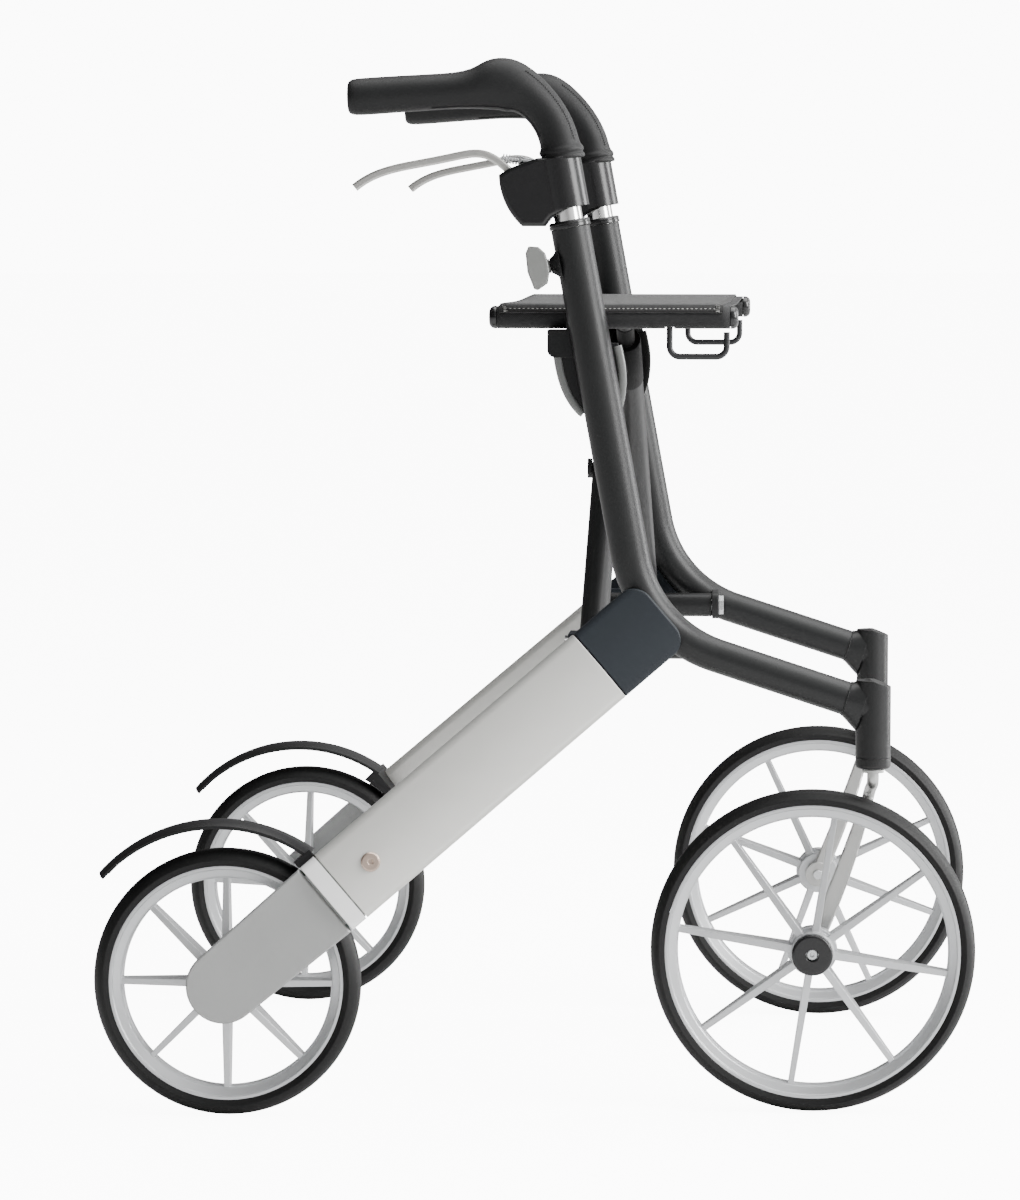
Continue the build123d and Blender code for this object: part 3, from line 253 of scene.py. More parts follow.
def cloth(name, colour, thread, threads, depth, sheen):
    """Woven cloth that reads the piece's own UV map, in metres along and across."""
    made = bpy.data.materials.new(name)
    made.use_nodes = True
    tree = made.node_tree
    shader = tree.nodes["Principled BSDF"]
    shader.inputs["Sheen Weight"].default_value = sheen
    shader.inputs["Sheen Roughness"].default_value = 0.45
    shader.inputs["Specular IOR Level"].default_value = 0.3
    place = add(tree, "ShaderNodeUVMap", uv_map="cut").outputs[0]
    weave = add(tree, "ShaderNodeGroup", node_tree=WEAVE)
    weave.inputs["Threads"].default_value = threads
    tree.links.new(place, weave.inputs["Vector"])
    solid = add(tree, "ShaderNodeTexCoord").outputs["Object"]
    links = [("Vector", solid), ("Scale", 300.0), ("Roughness", 0.62), ("Spread", 0.25)]
    surface = add(tree, "ShaderNodeGroup", links, node_tree=GRAIN)
    links = [("Drift", 0.35), ("Cloud", surface.outputs["Cloud"])]
    tone = add(tree, "ShaderNodeGroup", links, node_tree=TONE)
    mix = add(tree, "ShaderNodeMix", data_type="RGBA")
    mix.inputs[6].default_value = (*colour, 1)
    mix.inputs[7].default_value = (*thread, 1)
    tree.links.new(weave.outputs["Warp"], mix.inputs[0])
    tree.links.new(mix.outputs[2], tone.inputs["Colour"])
    tree.links.new(tone.outputs[0], shader.inputs["Base Color"])
    tree.links.new(surface.outputs["Roughness"], shader.inputs["Roughness"])
    bump = add(tree, "ShaderNodeBump", [("Strength", depth), ("Distance", 0.0004)])
    tree.links.new(weave.outputs["Height"], bump.inputs["Height"])
    tree.links.new(bump.outputs[0], shader.inputs["Normal"])
    return made


BEAM_TURN = (0, math.radians(40.5), 0)
powder_coat = finish("powder_coat", (0.010, 0.0103, 0.0106), 0.0, 0.38, grain=1500, depth=0.12,
                     spread=0.10, wear_and_highlight=0.10, specular=0.38)
slate_coat = finish("slate_coat", (0.014, 0.018, 0.023), 0.0, 0.60, grain=1900, depth=0.16, spread=0.12,
                    wear_and_highlight=0.2, specular=0.3)
beam_anodised = finish("beam_anodised", (0.74, 0.735, 0.70), 0.55, 0.44, depth=0.05, spread=0.10,
                       drift=0.05, wear_and_highlight=0.2, stretch=(30, 900, 900), turn=BEAM_TURN)
blasted_grey = finish("blasted_grey", (0.42, 0.425, 0.42), 0.5, 0.52, grain=2600, depth=0.25,
                      spread=0.12, drift=0.12, wear_and_highlight=0.3)
pale_film = finish("pale_film", (0.95, 0.95, 0.94), 0.0, 0.25, grain=700, depth=0.10, spread=0.1,
                   drift=0.03, coat=0.5)
bolt_steel = finish("bolt_steel", (0.62, 0.49, 0.41), 1.0, 0.34, grain=2500, depth=0.05, spread=0.12,
                    drift=0.1)
turned_steel = finish("turned_steel", (0.70, 0.71, 0.72), 1.0, 0.26, grain=2200, depth=0.03,
                      spread=0.12, drift=0.1)
ground_steel = finish("ground_steel", (0.80, 0.81, 0.82), 1.0, 0.14, grain=2200, depth=0.02,
                      spread=0.08, drift=0.05)
fork_satin = finish("fork_satin", (0.52, 0.52, 0.505), 0.85, 0.34, depth=0.08, spread=0.1, drift=0.1,
                    wear_and_highlight=0.3, stretch=(700, 700, 60), turn=(0, math.radians(-17), 0))
rim_silver = finish("rim_silver", (0.60, 0.61, 0.62), 0.6, 0.30, grain=3200, depth=0.04, spread=0.08,
                    drift=0.06, wear_and_highlight=0.3)
tyre_rubber = finish("tyre_rubber", (0.006, 0.006, 0.006), 0.0, 0.50, grain=700, depth=0.10,
                     spread=0.15, drift=0.5, wear_and_highlight=0.2, specular=0.26)
black_mould = finish("black_mould", (0.006, 0.006, 0.0066), 0.0, 0.40, grain=1600, depth=0.22,
                     spread=0.12, wear_and_highlight=0.15, specular=0.32)
# painted shade: darker and duller than black_mould, standing in for the seat's shadow on the scissor
# arms' upper ends; also used on the seat cradle's inner rims
painted_shade_mould = finish("painted_shade_mould", (0.004, 0.004, 0.0042), 0.0, 0.55, grain=1600, depth=0.2,
                      spread=0.12, wear_and_highlight=0.1, specular=0.12)
gloss_mould = finish("gloss_mould", (0.006, 0.006, 0.0065), 0.0, 0.16, grain=900, depth=0.03,
                     spread=0.06, wear_and_highlight=0.1, coat=0.3)
housing_mould = finish("housing_mould", (0.007, 0.007, 0.0075), 0.0, 0.24, grain=1700, depth=0.08,
                       spread=0.08, wear_and_highlight=0.1)
grip_rubber = finish("grip_rubber", (0.007, 0.0071, 0.0075), 0.0, 0.50, grain=2300, depth=0.32,
                     spread=0.12, drift=0.3, wear_and_highlight=0.1, sheen=0.03, specular=0.28)
shoe_rubber = finish("shoe_rubber", (0.02, 0.02, 0.02), 0.0, 0.7, grain=1200, depth=0.3)
lever_satin = finish("lever_satin", (0.60, 0.595, 0.57), 0.9, 0.32, depth=0.06, spread=0.1, drift=0.08,
                     stretch=(60, 900, 900))
tube_bright = finish("tube_bright", (0.92, 0.92, 0.91), 1.0, 0.14, depth=0.03, spread=0.05, drift=0.03,
                     stretch=(900, 900, 50), turn=(0, math.radians(-10.4), 0))
knob_grey = finish("knob_grey", (0.26, 0.265, 0.255), 0.3, 0.33, grain=2200, depth=0.08, spread=0.1,
                   wear_and_highlight=0.7, wear_highlight_colour=(0.6, 0.6, 0.58))
# painted highlight: glossy grey standing in for light caught on the seat cradle's curved outer rims
painted_highlight_grey = finish("painted_highlight_grey", (0.20, 0.205, 0.20), 0.3, 0.26, grain=1800, depth=0.04, spread=0.08,
                    coat=0.4)
hook_wire = finish("hook_wire", (0.018, 0.0185, 0.020), 0.0, 0.34, grain=1500, depth=0.08, spread=0.1,
                   wear_and_highlight=0.1)
seat_cloth = cloth("seat_cloth", (0.015, 0.015, 0.015), (0.030, 0.030, 0.029), 1300.0, 0.35, 0.18)
sling_cloth = cloth("sling_cloth", (0.010, 0.010, 0.0105), (0.020, 0.020, 0.021), 1300.0, 0.35, 0.12)
edge_tape = cloth("edge_tape", (0.007, 0.007, 0.0075), (0.014, 0.014, 0.014), 900.0, 0.5, 0.08)
pale_thread = finish("pale_thread", (0.50, 0.50, 0.48), 0.0, 0.7, grain=5000, depth=0.3, sheen=0.2)

CAD_FINISH = {
    "frame": powder_coat, "head_bearings": ground_steel, "fork": fork_satin,
    "front_axle": turned_steel, "front_rim": rim_silver, "front_tyre": tyre_rubber,
    "front_bearings": ground_steel, "hub_cap": housing_mould, "elbow_casting": slate_coat,
    "beam": beam_anodised, "beam_bolt": bolt_steel, "reflector_band": pale_film,
    "wheel_arm": blasted_grey, "mudguard": black_mould, "rear_axle": turned_steel,
    "rear_rim": rim_silver, "rear_tyre": tyre_rubber, "rear_bearings": ground_steel,
    "brake_shoe": shoe_rubber, "handle_tube": tube_bright, "grip": grip_rubber,
    "brake_housing": housing_mould, "brake_lever": lever_satin, "height_knob": knob_grey,
    "seat_cradle": black_mould, "pivot_pin": turned_steel, "rail_knobs": gloss_mould,
    "bag_hook": hook_wire, "seat_fabric": sling_cloth, "scissor_arm": powder_coat,
}
for name, part in nodes.items():
    part.data.materials.clear()
    part.data.materials.append(CAD_FINISH[name.rsplit("_", 1)[0]])


# ---- modelling helpers

def facing(origin, ahead, side):
    """A placing whose Z points ahead and whose X lies towards side."""
    z = Vector(ahead).normalized()
    x = (Vector(side) - z * Vector(side).dot(z)).normalized()
    y = z.cross(x)
    return Matrix.Translation(origin) @ Matrix((x, y, z)).transposed().to_4x4()


def oval(place, half_x, half_y):
    return place @ Matrix.Diagonal((half_x, half_y, 1, 1))


def edges_between(drawn, verts):
    """The edges among the drawn geometry whose two ends are both in verts."""
    edges = [g for g in drawn if isinstance(g, bmesh.types.BMEdge)]
    return [e for e in edges if e.verts[0] in verts and e.verts[1] in verts]


def only_verts(drawn):
    return [g for g in drawn if isinstance(g, bmesh.types.BMVert)]


def draw_through(bm, places, segments=32):
    """A ring drawn out through the places, each a matrix that also sizes it."""
    first = bmesh.ops.create_circle(bm, segments=segments, radius=1.0, matrix=places[0])["verts"]
    ring = [e for e in bm.edges if e.verts[0] in first and e.verts[1] in first]
    bmesh.ops.contextual_create(bm, geom=ring)
    for before, after in zip(places, places[1:]):
        drawn = bmesh.ops.extrude_edge_only(bm, edges=ring)["geom"]
        verts = only_verts(drawn)
        bmesh.ops.transform(bm, matrix=after @ before.inverted(), verts=verts)
        ring = edges_between(drawn, verts)
    bmesh.ops.contextual_create(bm, geom=ring)


def wire_through(bm, points, radius, segments=12, side=Y):
    """A round wire through points, with rounded ends."""
    places = []
    last = len(points) - 1
    for i, p in enumerate(points):
        ahead = (points[min(i + 1, last)] - points[max(i - 1, 0)]).normalized()
        if i == 0:
            places.append(oval(facing(p - ahead * radius * 0.7, ahead, side), radius * 0.5, radius * 0.5))
        places.append(oval(facing(p, ahead, side), radius, radius))
        if i == last:
            places.append(oval(facing(p + ahead * radius * 0.7, ahead, side), radius * 0.5, radius * 0.5))
    draw_through(bm, places, segments)


def curve_points(corners, count):
    """count points along a smooth line pulled through the corners."""
    data = bpy.data.curves.new("line", "CURVE")
    data.dimensions = "3D"
    spline = data.splines.new("NURBS")
    spline.points.add(len(corners) - 1)
    for point, corner in zip(spline.points, corners):
        point.co = (*corner, 1)
    spline.order_u = 3
    spline.use_endpoint_u = True
    spline.resolution_u = 24
    holder = bpy.data.objects.new("line", data)
    mesh = bpy.data.meshes.new_from_object(holder)
    found = [v.co.copy() for v in mesh.vertices]
    bpy.data.objects.remove(holder)
    bpy.data.curves.remove(data)
    lengths = [0.0]
    for a, b in zip(found, found[1:]):
        lengths.append(lengths[-1] + (b - a).length)
    out, k = [], 0
    for i in range(count):
        want = lengths[-1] * i / (count - 1)
        while k < len(found) - 2 and lengths[k + 1] < want:
            k += 1
        share = (want - lengths[k]) / max(lengths[k + 1] - lengths[k], 1e-9)
        out.append(found[k].lerp(found[k + 1], min(max(share, 0.0), 1.0)))
    return out


def make_piece(bm, name, body, material, sharp=35):
    bmesh.ops.remove_doubles(bm, verts=bm.verts, dist=1e-6)
    bmesh.ops.recalc_face_normals(bm, faces=bm.faces)
    mesh = bpy.data.meshes.new(name)
    bm.to_mesh(mesh)
    bm.free()
    mesh.shade_smooth()
    mesh.set_sharp_from_angle(angle=math.radians(sharp))
    mesh.materials.append(material)
    piece = bpy.data.objects.new(name, mesh)
    bpy.context.scene.collection.objects.link(piece)
    if body:
        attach(piece, body)
    return piece


def stitches(bm, start, end, pitch, length, thick, up):
    """A row of thread stitches, each a short flattened bead."""
    along = (end - start).normalized()
    count = int((end - start).length / pitch)
    for i in range(count):
        middle = start + along * pitch * (i + 0.5)
        place = facing(middle, along, up) @ Matrix.Diagonal((thick * 0.6, thick, length / 2, 1))
        bmesh.ops.create_uvsphere(bm, u_segments=6, v_segments=4, radius=1.0, matrix=place)


def zigzag(bm, start, end, width, count, radius, side):
    """A bar tack: one thread worked to and fro."""
    along = end - start
    across = side.normalized() * width / 2
    points = [start + along * (i / count) + across * (1 if i % 2 else -1) for i in range(count + 1)]
    wire_through(bm, points, radius, 5, side=along.cross(side))


# ---- grips

FRAME_Y = joints["brake_lever_left"]["pos_m"][1]
GRIP_OUT = 0.010


def grip_places(s):
    """Rings along the grip from its foot to its tip: middle, half height, half width."""
    rows = [
        (19.8, 736.5, 11.2, 11.2, 6.0), (20.0, 732.4, 11.2, 11.2, 6.0),
        (20.0, 732.0, 16.0, 15.8, 8.0), (19.8, 732.7, 17.2, 17.0, 8.0),
        (19.4, 735.0, 17.3, 17.1, 8.2), (19.2, 735.7, 16.2, 16.0, 8.3),
        (19.0, 736.9, 16.2, 16.0, 8.5), (18.8, 737.6, 17.4, 17.2, 8.6),
        (18.3, 740.6, 17.2, 17.0, 9.0), (18.0, 741.6, 15.4, 15.2, 9.5),
        (17.0, 746.0, 15.1, 14.9, 12.0), (14.9, 753.3, 15.0, 14.9, 19.0),
        (11.6, 760.6, 15.0, 15.0, 28.0), (6.6, 768.6, 15.1, 15.2, 38.5),
        (0.4, 776.0, 15.6, 15.8, 49.0), (-7.2, 782.6, 16.8, 16.6, 59.0),
        (-13.5, 785.8, 18.6, 17.3, 66.0), (-19.5, 788.0, 20.4, 17.6, 75.0),
        (-26.4, 789.9, 20.3, 17.7, 84.0), (-35.0, 789.7, 19.7, 17.6, 89.0),
        (-42.0, 788.2, 17.8, 17.3, 91.5), (-49.0, 785.9, 15.2, 16.8, 93.0),
        (-62.0, 784.5, 13.8, 16.0, 92.5), (-80.0, 783.4, 13.9, 15.3, 91.5),
        (-105.0, 781.9, 14.1, 15.0, 91.2), (-128.0, 780.3, 14.3, 14.9, 91.2),
        (-138.5, 779.7, 14.1, 14.6, 91.2), (-141.8, 779.6, 13.2, 13.8, 91.2),
        (-143.6, 779.5, 11.8, 12.4, 91.2), (-144.4, 779.5, 10.0, 10.6, 91.2),
    ]
    places = []
    for x, z, tall, wide, lean in rows:
        turn = math.radians(lean)
        ahead = Vector((-math.sin(turn), 0, math.cos(turn)))
        out = GRIP_OUT * max(0.0, min(1.0, (6.0 - x) / 148.0))
        middle = Vector((x * MM, s * (FRAME_Y + out), z * MM))
        upper = (math.cos(turn), 0, math.sin(turn))
        places.append(oval(facing(middle, ahead, upper), tall * MM, wide * MM))
    return places


def around(place, degrees, lift=1.0):
    """A point on a ring: 0 is its outer or upper side, 90 its left side."""
    a = math.radians(degrees)
    return place @ Vector((math.cos(a) * lift, math.sin(a) * lift, 0))


for side, s in SIDES.items():
    places = grip_places(s)
    bm = bmesh.new()
    draw_through(bm, places, 48)
    piece = make_piece(bm, f"grip_sleeve_{side}", f"{side}_handle", grip_rubber, 30)
    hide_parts(f"grip_{side}")
    smooth = piece.modifiers.new("soft", "SUBSURF")
    smooth.levels = smooth.render_levels = 1
    # parting lines low on both flanks, and the beaded strip over the outside of the bend
    for flank, degrees in (("inner", 152), ("outer", 208)):
        bm = bmesh.new()
        line = [around(p, degrees if s > 0 else 360 - degrees, 1.003) for p in places[11:24]]
        wire_through(bm, curve_points(line, 60), 0.6 * MM, 6)
        make_piece(bm, f"grip_line_{flank}_{side}", f"{side}_handle", grip_rubber)
    bm = bmesh.new()
    for degrees in (-38, 38):
        line = curve_points([around(p, degrees, 1.0) for p in places[10:17]], 34)
        for a in line:
            bmesh.ops.create_icosphere(bm, subdivisions=1, radius=0.75 * MM, matrix=Matrix.Translation(a))
    make_piece(bm, f"grip_beads_{side}", f"{side}_handle", grip_rubber, 60)


# ---- seat

LEFT_RAIL = Vector(joints["seat_left_rail"]["pos_m"])
sling_low, sling_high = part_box("seat_fabric_left")
RAIL_HALF = LEFT_RAIL.y
RAIL_Z = LEFT_RAIL.z
SLEEVE = 8.15 * MM
ARM_X = {"left": joints["fold"]["pos_m"][0], "right": joints["fold_crossing"]["pos_m"][0]}
HOOK_X = (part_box("bag_hook_left")[0].x + 2.4 * MM)
SAG = 1.6 * MM
HEM_DEG = -208          # where the sling's hem ends, round the rail from its outer side
PANEL_LIFT = 1.7 * MM   # the top panel over the sling
ARM_GAP = 8.0 * MM      # half the cut in the sling where a scissor arm meets its rail
HOOK_GAP = 3.6 * MM     # the same round a bag hook


def sling_line(lift=0.0):
    """Across the seat from rail to rail: (point, distance, angle round the rail or None)."""
    turns = 22
    radius = SLEEVE + lift
    half = []
    for i in range(turns + 1):
        a = math.radians(HEM_DEG + i * ((90 - HEM_DEG) / turns))
        half.append((RAIL_HALF + math.cos(a) * radius, RAIL_Z + math.sin(a) * radius, math.degrees(a)))
    flat = []
    for i in range(1, 14):
        t = i / 13
        y = RAIL_HALF * (1 - t)
        flat.append((y, RAIL_Z + SLEEVE + lift - SAG * math.sin(t * math.pi / 2) ** 2, None))
    left = half + flat
    right = [(-y, z, a) for y, z, a in reversed(left[:-1])]
    return left + right


def sling_sheet(name, x_stops, line, material, thick, drop=None):
    """Cloth drawn from one end of the rails to the other. drop says which faces are cut away."""
    bm = bmesh.new()
    uv = bm.loops.layers.uv.new("cut")
    verts = [bm.verts.new((x_stops[0], y, z)) for y, z, a in line]
    edges = [bm.edges.new(pair) for pair in zip(verts, verts[1:])]
    for x0, x1 in zip(x_stops, x_stops[1:]):
        drawn = bmesh.ops.extrude_edge_only(bm, edges=edges)["geom"]
        moved = only_verts(drawn)
        bmesh.ops.translate(bm, verts=moved, vec=(x1 - x0, 0, 0))
        edges = edges_between(drawn, moved)
    run = [0.0]
    for (y0, z0, _), (y1, z1, _) in zip(line, line[1:]):
        run.append(run[-1] + math.hypot(y1 - y0, z1 - z0))
    for face in bm.faces:
        for loop in face.loops:
            x, y, z = loop.vert.co
            nearest = min(range(len(line)), key=lambda k: abs(line[k][0] - y) + abs(line[k][1] - z))
            loop[uv].uv = (x, run[nearest])
    if drop:
        gone = [f for f in bm.faces if drop(f.calc_center_median())]
        bmesh.ops.delete(bm, geom=gone, context="FACES")
    bmesh.ops.recalc_face_normals(bm, faces=bm.faces)
    mesh = bpy.data.meshes.new(name)
    area = sum(f.calc_area() for f in bm.faces)
    bm.to_mesh(mesh)
    bm.free()
    mesh.shade_smooth()
    mesh.materials.append(material)
    piece = bpy.data.objects.new(name, mesh)
    bpy.context.scene.collection.objects.link(piece)
    skin = piece.modifiers.new("thickness", "SOLIDIFY")
    skin.thickness = thick
    skin.offset = 0.0
    return piece, (x_stops[-1] - x_stops[0], run[-1]), area


def round_rail(c):
    """Angle of a point round its own rail, 0 outwards and 90 upwards, from -270 to 90."""
    a = math.degrees(math.atan2(c.z - RAIL_Z, abs(c.y) - RAIL_HALF))
    return a - 360 if a > 90 else a


def cut_away(c):
    """Whether the sling is cut away here, for a scissor arm or a bag hook."""
    side = "left" if c.y > 0 else "right"
    a = round_rail(c)
    near_rail = abs(c.y) > RAIL_HALF - 10 * MM and c.z < RAIL_Z + 6.5 * MM
    if near_rail and abs(c.x - ARM_X[side]) < ARM_GAP and -212 < a < -88:
        return True
    return near_rail and abs(c.x - HOOK_X) < HOOK_GAP and -125 < a < -55


x0, x1 = sling_low.x, sling_high.x
cuts = [HOOK_X - HOOK_GAP, HOOK_X + HOOK_GAP]
cuts += [ARM_X[side] + d * ARM_GAP for side in SIDES for d in (-1, 1)]
stops = sorted({x0, x1, *cuts})
fine = []
for a, b in zip(stops, stops[1:]):
    count = max(1, round((b - a) / (6 * MM)))
    fine += [a + (b - a) * i / count for i in range(count)]
fine.append(x1)
sling, cut, area = sling_sheet("seat_sling", fine, sling_line(), sling_cloth, 1.2 * MM, drop=cut_away)
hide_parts("seat_fabric_left", "seat_fabric_right")
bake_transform(sling)

# the top panel: a second layer from rail to rail with bound edges
panel_line = [(y, z, a) for y, z, a in sling_line(PANEL_LIFT) if a is None or a > 20]
panel_x = [x0 + 2 * MM + (x1 - x0 - 8 * MM) * i / 30 for i in range(31)]
panel, cut, area = sling_sheet("seat_panel", panel_x, panel_line, seat_cloth, 1.4 * MM)
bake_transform(panel)


def over_rail(x, s, radius, degrees):
    """A point that far from the rail's axis, degrees up from its outer side."""
    a = math.radians(degrees)
    return Vector((x, s * (RAIL_HALF + math.cos(a) * radius), RAIL_Z + math.sin(a) * radius))


for side, s in SIDES.items():
    body = f"seat_{side}"
    a0, a1 = panel_x[0], panel_x[-1]
    # bound edge of the panel along the rail
    bm = bmesh.new()
    uv = bm.loops.layers.uv.new("cut")
    edge_r = SLEEVE + PANEL_LIFT
    places = []
    for i in range(25):
        x = a0 - 0.6 * MM + (a1 - a0 + 1.2 * MM) * i / 24
        middle = over_rail(x, s, edge_r, 44)
        lean = Vector((0, s * math.cos(math.radians(46)), -math.sin(math.radians(46))))
        size = (3.9 * MM, 1.25 * MM) if 0 < i < 24 else (3.4 * MM, 0.9 * MM)
        places.append(oval(facing(middle, X, lean), *size))
    draw_through(bm, places, 16)
    for face in bm.faces:
        for loop in face.loops:
            loop[uv].uv = (loop.vert.co.x, loop.vert.co.z)
    make_piece(bm, f"seat_binding_{side}", body, edge_tape, 50)
    bm = bmesh.new()
    row = over_rail(0, s, edge_r + 1.25 * MM, 38)
    low = row + Vector((0, s * 0.2 * MM, -2.2 * MM))
    out = Vector((0, s * 0.75, 0.66))
    # the long row, then a short second row at each end: from, to, pitch, length, thickness
    for line, start, end, pitch, length, thick in (
        (row, a0 + 3 * MM, a1 - 4 * MM, 3.5, 2.1, 0.4),
        (low, a0 + 1 * MM, a0 + 15 * MM, 3.0, 2.4, 0.5),
        (low, a1 - 18 * MM, a1 - 1 * MM, 3.0, 2.6, 0.5),
    ):
        stitches(bm, line + X * start, line + X * end, pitch * MM, length * MM, thick * MM, out)
    # a bar tack at each end: its upper and lower end, width and number of turns
    down = Vector((0, s * 0.66, -0.75)) * MM
    for top, bottom, width, count in (
        (row + X * (a1 - 3.5 * MM) - down * 3.5, row + X * (a1 - 3.5 * MM) + down * 3.0, 3.0, 9),
        (row + X * (a0 + 3.5 * MM) - down * 2.5, row + X * (a0 + 5.0 * MM) + down * 3.0, 2.6, 8),
    ):
        zigzag(bm, top, bottom, width * MM, count, 0.35 * MM, X)
    make_piece(bm, f"seat_thread_{side}", body, pale_thread, 60)


# ---- small metalwork

def weld(name, body, centre, ahead, radius, wire, material, count):
    """A laid bead round a joint, with its overlapping ripples."""
    bm = bmesh.new()
    place = facing(centre, ahead, Y)
    for i in range(count):
        a = 2 * math.pi * i / count
        p = place @ Vector((math.cos(a) * radius, math.sin(a) * radius, 0))
        tangent = place.to_3x3() @ Vector((-math.sin(a) * radius, math.cos(a) * radius, 0))
        lens = facing(p, tangent, ahead) @ Matrix.Diagonal((wire, wire, wire * 0.95, 1))
        bmesh.ops.create_uvsphere(bm, u_segments=8, v_segments=6, radius=1.0, matrix=lens)
    return make_piece(bm, name, body, material, 50)


HEAD = Vector(joints["caster_left"]["pos_m"])
LEAN = math.radians(10.4)
UP = Vector((-math.sin(LEAN), 0, math.cos(LEAN)))
UPRIGHT_TOP = (25.4 * MM, 680.2 * MM)
KNOB_AXIS = (30.1 * MM, 654.6 * MM)
COIL_R = 3.1 * MM
COIL_STEPS = 96
KNOB_FOOT = 20.5        # the knob's wing starts this far behind the upright's axis, mm
HEAD_JOINT_UP = 47 * MM     # front tube's axis above the head tube's foot
HEAD_PIVOT_UP = 8.2 * MM


def turned(name, body, origin, axis, rings, material):
    """A hollow turned piece: rings of (mm along the axis, mm radius), the last joined to the first."""
    bm = bmesh.new()
    place = facing(origin, axis, Y)
    loop = [bm.verts.new(place @ Vector((r * MM, 0, d * MM))) for d, r in rings]
    edges = [bm.edges.new(pair) for pair in zip(loop, loop[1:] + loop[:1])]
    bmesh.ops.spin(bm, geom=edges, cent=origin, axis=Vector(axis).normalized(), angle=2 * math.pi,
                   steps=64, use_merge=True)
    return make_piece(bm, name, body, material, 40)


def upright_end_bush(side, s, body):
    """Plastic bush pushed on the upright's open end, round the handle tube."""
    end = Vector((UPRIGHT_TOP[0], s * FRAME_Y, UPRIGHT_TOP[1]))
    rings = [(0.05, 11.3), (0.05, 15.5), (0.5, 15.9), (2.6, 15.9), (2.8, 15.4), (3.1, 15.4), (3.3, 15.9),
             (4.6, 15.7), (5.6, 14.6), (5.6, 11.3)]
    turned(f"end_bush_{side}", body, end, UP, rings, gloss_mould)


def bearing_cover(side, s, body):
    """Thin cover ring round the head tube's lower end."""
    end = Vector((HEAD.x, s * HEAD.y, HEAD.z + HEAD_PIVOT_UP))
    rings = [(-0.35, 13.4), (-0.35, 13.75), (0.0, 13.95), (0.35, 13.75), (0.35, 13.4)]
    turned(f"head_ring_{side}", body, end, Z, rings, powder_coat)


def cradle_strips(side, s, body):
    """Raised glossy rims along the rear and front edges of the seat cradle's shield: grey on the outer
    face as a painted highlight of light on the curved rim, and in the darker painted shade finish on the
    inner face.
    """
    low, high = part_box("seat_cradle_left")
    for where, corners in (
        ("rear", [(14.2, 589), (15.0, 578), (20.5, 556), (30.5, 540), (36.0, 536.5)]),
        ("front", [(60.8, 591), (64.6, 576), (65.3, 560), (63.2, 544), (58.9, 533.4)]),
    ):
        # outer-face rims in painted highlight grey, inner-face rims in painted shade
        for face, y, material in (
            ("in", low.y + 19.2 * MM, painted_shade_mould),
            ("out", high.y - 3.0 * MM, painted_highlight_grey),
        ):
            line = curve_points([Vector((x * MM, s * y, z * MM)) for x, z in corners], 40)
            places = [oval(facing(p, b - a, X), 3.2 * MM, 1.2 * MM)
                      for a, p, b in zip(line, line[1:], line[2:])]
            bm = bmesh.new()
            draw_through(bm, places, 16)
            make_piece(bm, f"cradle_{where}_rim_{face}_{side}", body, material)


def knob_shade_panels(side, s, handle):
    """Dark plates in the shape of the height knob's hollows, on both sides of its stud's axis: painted
    shade standing in for the shadow in the hollows.
    """
    back = Vector((-math.cos(LEAN), 0, -math.sin(LEAN)))
    down = Vector((math.sin(LEAN), 0, -math.cos(LEAN)))
    axis = Vector((KNOB_AXIS[0], s * FRAME_Y, KNOB_AXIS[1]))
    for name, outline in (
        ("upper", [(9.7, -15.0), (5.7, -13.8), (2.6, -9.5), (4.0, -8.5)]),
        ("lower", [(2.9, 2.9), (2.6, 5.6), (5.0, 11.6), (10.6, 12.3)]),
    ):
        bm = bmesh.new()
        for face in (-1, 1):
            middle = axis + Y * face * 1.62 * MM
            corners = [middle + back * (KNOB_FOOT + u) * MM + down * v * MM for u, v in outline]
            verts = [bm.verts.new(c) for c in corners]
            edges = [bm.edges.new(pair) for pair in zip(verts, verts[1:] + verts[:1])]
            flat = bmesh.ops.contextual_create(bm, geom=edges)["faces"]
            raised = bmesh.ops.extrude_face_region(bm, geom=flat)["geom"]
            bmesh.ops.translate(bm, verts=only_verts(raised), vec=(0, face * 0.3 * MM, 0))
        # black plates: painted shade in the knob's hollows
        make_piece(bm, f"knob_{name}_{side}", handle, black_mould)


def arm_shade_sleeve(which, body, top, foot):
    """Black sleeve over a scissor arm's upper end; its extra-dark, dull finish is painted shade standing
    in for the seat's shadow there.
    """
    rings = [(11.0, 6.55), (11.0, 6.9), (33.5, 6.9), (33.5, 11.0), (34.1, 11.5), (92.0, 11.5),
             (92.6, 11.3), (92.6, 11.05), (33.95, 11.05), (33.95, 6.55)]
    turned(f"arm_shade_sleeve_{which}", body, top, foot - top, rings, painted_shade_mould)


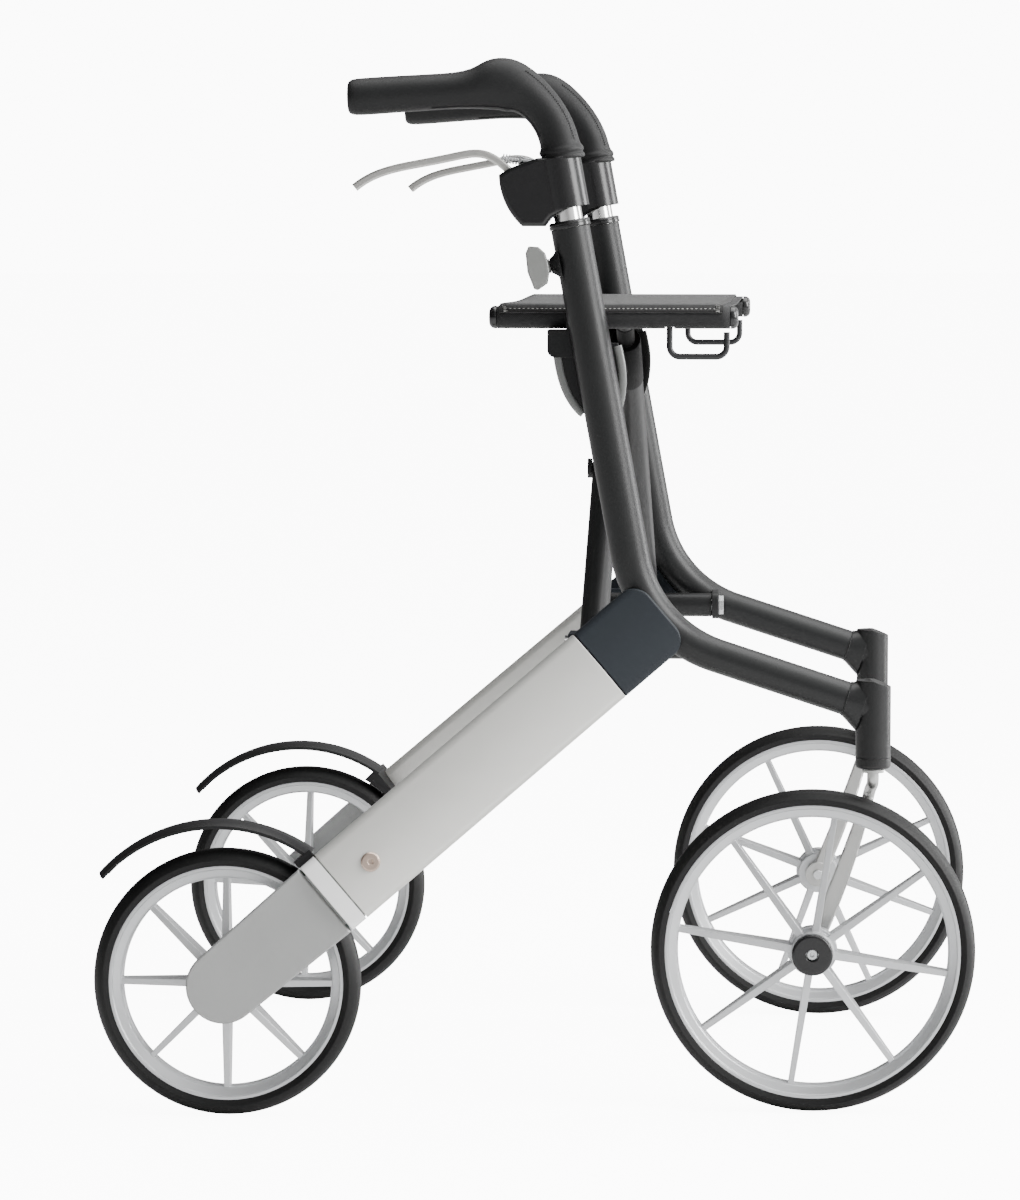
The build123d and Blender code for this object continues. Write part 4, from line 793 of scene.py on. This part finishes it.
for side, s in SIDES.items():
    body = f"{side}_frame"
    head = Vector((HEAD.x, s * HEAD.y, HEAD.z + HEAD_JOINT_UP))
    slope = Vector((math.cos(math.radians(18)), 0, -math.sin(math.radians(18))))
    weld(f"head_weld_{side}", body, head - slope * 21.5 * MM, slope, 13.2 * MM, 0.7 * MM, powder_coat,
         90)
    upright_end_bush(side, s, body)
    bearing_cover(side, s, body)
    cradle_strips(side, s, body)
    knob_shade_panels(side, s, f"{side}_height_knob")
    # coil spring and cable screw between lever and housing
    handle = f"{side}_handle"
    axis0 = Vector((-26.5 * MM, s * FRAME_Y, 733.2 * MM))
    axis1 = Vector((-13.0 * MM, s * FRAME_Y, 731.2 * MM))
    bm = bmesh.new()
    ahead = (axis1 - axis0).normalized()
    place = facing(axis0, ahead, Y)
    coil = []
    for i in range(COIL_STEPS + 1):
        a = math.radians(i * 22.5)
        far = (axis1 - axis0).length * i / COIL_STEPS
        coil.append(place @ Vector((math.cos(a) * COIL_R, math.sin(a) * COIL_R, far)))
    wire_through(bm, coil, 0.55 * MM, 6, side=ahead)
    make_piece(bm, f"lever_spring_{side}", handle, ground_steel, 60)
    bm = bmesh.new()
    rod = [axis0 - ahead * 1 * MM, axis1]
    draw_through(bm, [oval(facing(p, ahead, Y), 1.6 * MM, 1.6 * MM) for p in rod], 16)
    rings = ((-0.5, 3.4), (0, 3.9), (1.6, 3.9), (2.0, 3.4), (2.2, 3.0), (14.0, 3.0))
    places = [oval(facing(axis1 + ahead * d * MM, ahead, Y), r * MM, r * MM) for d, r in rings]
    draw_through(bm, places, 20)
    make_piece(bm, f"cable_screw_{side}", handle, turned_steel)


# each scissor arm's upper end gets a sleeve in the painted shade finish
for which, pivot, end in (("front", "fold_left_pivot", -1), ("rear", "fold", 1)):
    foot = Vector(joints[pivot]["pos_m"])
    arm_shade_sleeve(which, f"arm_{which}", Vector((foot.x, end * RAIL_HALF, RAIL_Z)), foot)


# ---- camera, floor and light

middle = (cad_box[0] + cad_box[1]) / 2
camera = bpy.data.objects.new("camera", bpy.data.cameras.new("camera"))
camera.location = (0.2503, -4.08905, 0.70092)
camera.rotation_euler = (math.radians(85.464), 0, math.radians(4.02))
camera.data.lens = 151.1
camera.data.sensor_width = 36
camera.data.clip_end = 200
bpy.context.scene.collection.objects.link(camera)
bpy.context.scene.camera = camera

bm = bmesh.new()
bmesh.ops.create_circle(bm, cap_ends=True, segments=96, radius=45)
floor_mesh = bpy.data.meshes.new("floor")
bm.to_mesh(floor_mesh)
bm.free()
floor = bpy.data.objects.new("floor", floor_mesh)
bpy.context.scene.collection.objects.link(floor)


def studio_floor():
    """Matt white ground, as bright to the camera as the sweep behind it, with soft contact shadows."""
    made = bpy.data.materials.new("pale_floor")
    made.use_nodes = True
    tree = made.node_tree
    matt = tree.nodes["Principled BSDF"]
    matt.inputs["Base Color"].default_value = (0.8, 0.8, 0.8, 1)
    matt.inputs["Roughness"].default_value = 0.9
    matt.inputs["Specular IOR Level"].default_value = 0.0
    eye = add(tree, "ShaderNodeLightPath").outputs["Is Camera Ray"]
    matt.inputs["Emission Color"].default_value = (1, 1, 1, 1)
    tree.links.new(maths(tree, "MULTIPLY", eye, 10.0), matt.inputs["Emission Strength"])
    return made


floor_mesh.materials.append(studio_floor())


def softbox(name, place, aim, size, power):
    light = bpy.data.lights.new(name, "AREA")
    light.shape = "RECTANGLE"
    light.size, light.size_y = size
    light.energy = power
    lamp = bpy.data.objects.new(name, light)
    lamp.location = place
    lamp.rotation_euler = (Vector(aim) - Vector(place)).to_track_quat("-Z", "Y").to_euler()
    bpy.context.scene.collection.objects.link(lamp)


softbox("key_right", (2.8, -1.2, 1.9), middle, (1.4, 2.4), 150)
softbox("top_soft", (0.5, 0.1, 3.2), middle, (2.6, 2.6), 85)
softbox("rim_right", (3.0, 1.4, 0.9), middle, (0.8, 2.6), 90)

world = bpy.data.worlds.new("studio")
bpy.context.scene.world = world
world.use_nodes = True
wt = world.node_tree
direction = add(wt, "ShaderNodeTexCoord").outputs["Generated"]
parts = add(wt, "ShaderNodeSeparateXYZ", [(0, direction)])


def ramp(value, from_min, from_max, to_min, to_max):
    """A smooth step of the world's light from one direction to the other."""
    links = [("Value", value), ("From Min", from_min), ("From Max", from_max),
             ("To Min", to_min), ("To Max", to_max)]
    return add(wt, "ShaderNodeMapRange", links, interpolation_type="SMOOTHSTEP").outputs[0]


to_right = ramp(parts.outputs[0], -0.4, 0.9, 0.10, 1.7)
upward = ramp(parts.outputs[2], -0.3, 0.8, 0.55, 1.25)
light = maths(wt, "MULTIPLY", to_right, upward)
seen = add(wt, "ShaderNodeLightPath").outputs["Is Camera Ray"]
strength = add(wt, "ShaderNodeMix", [(0, seen), (2, light), (3, 11.0)], data_type="FLOAT")
wt.links.new(strength.outputs[0], wt.nodes["Background"].inputs["Strength"])
wt.nodes["Background"].inputs["Color"].default_value = (1, 1, 1, 1)

bpy.context.view_layer.update()
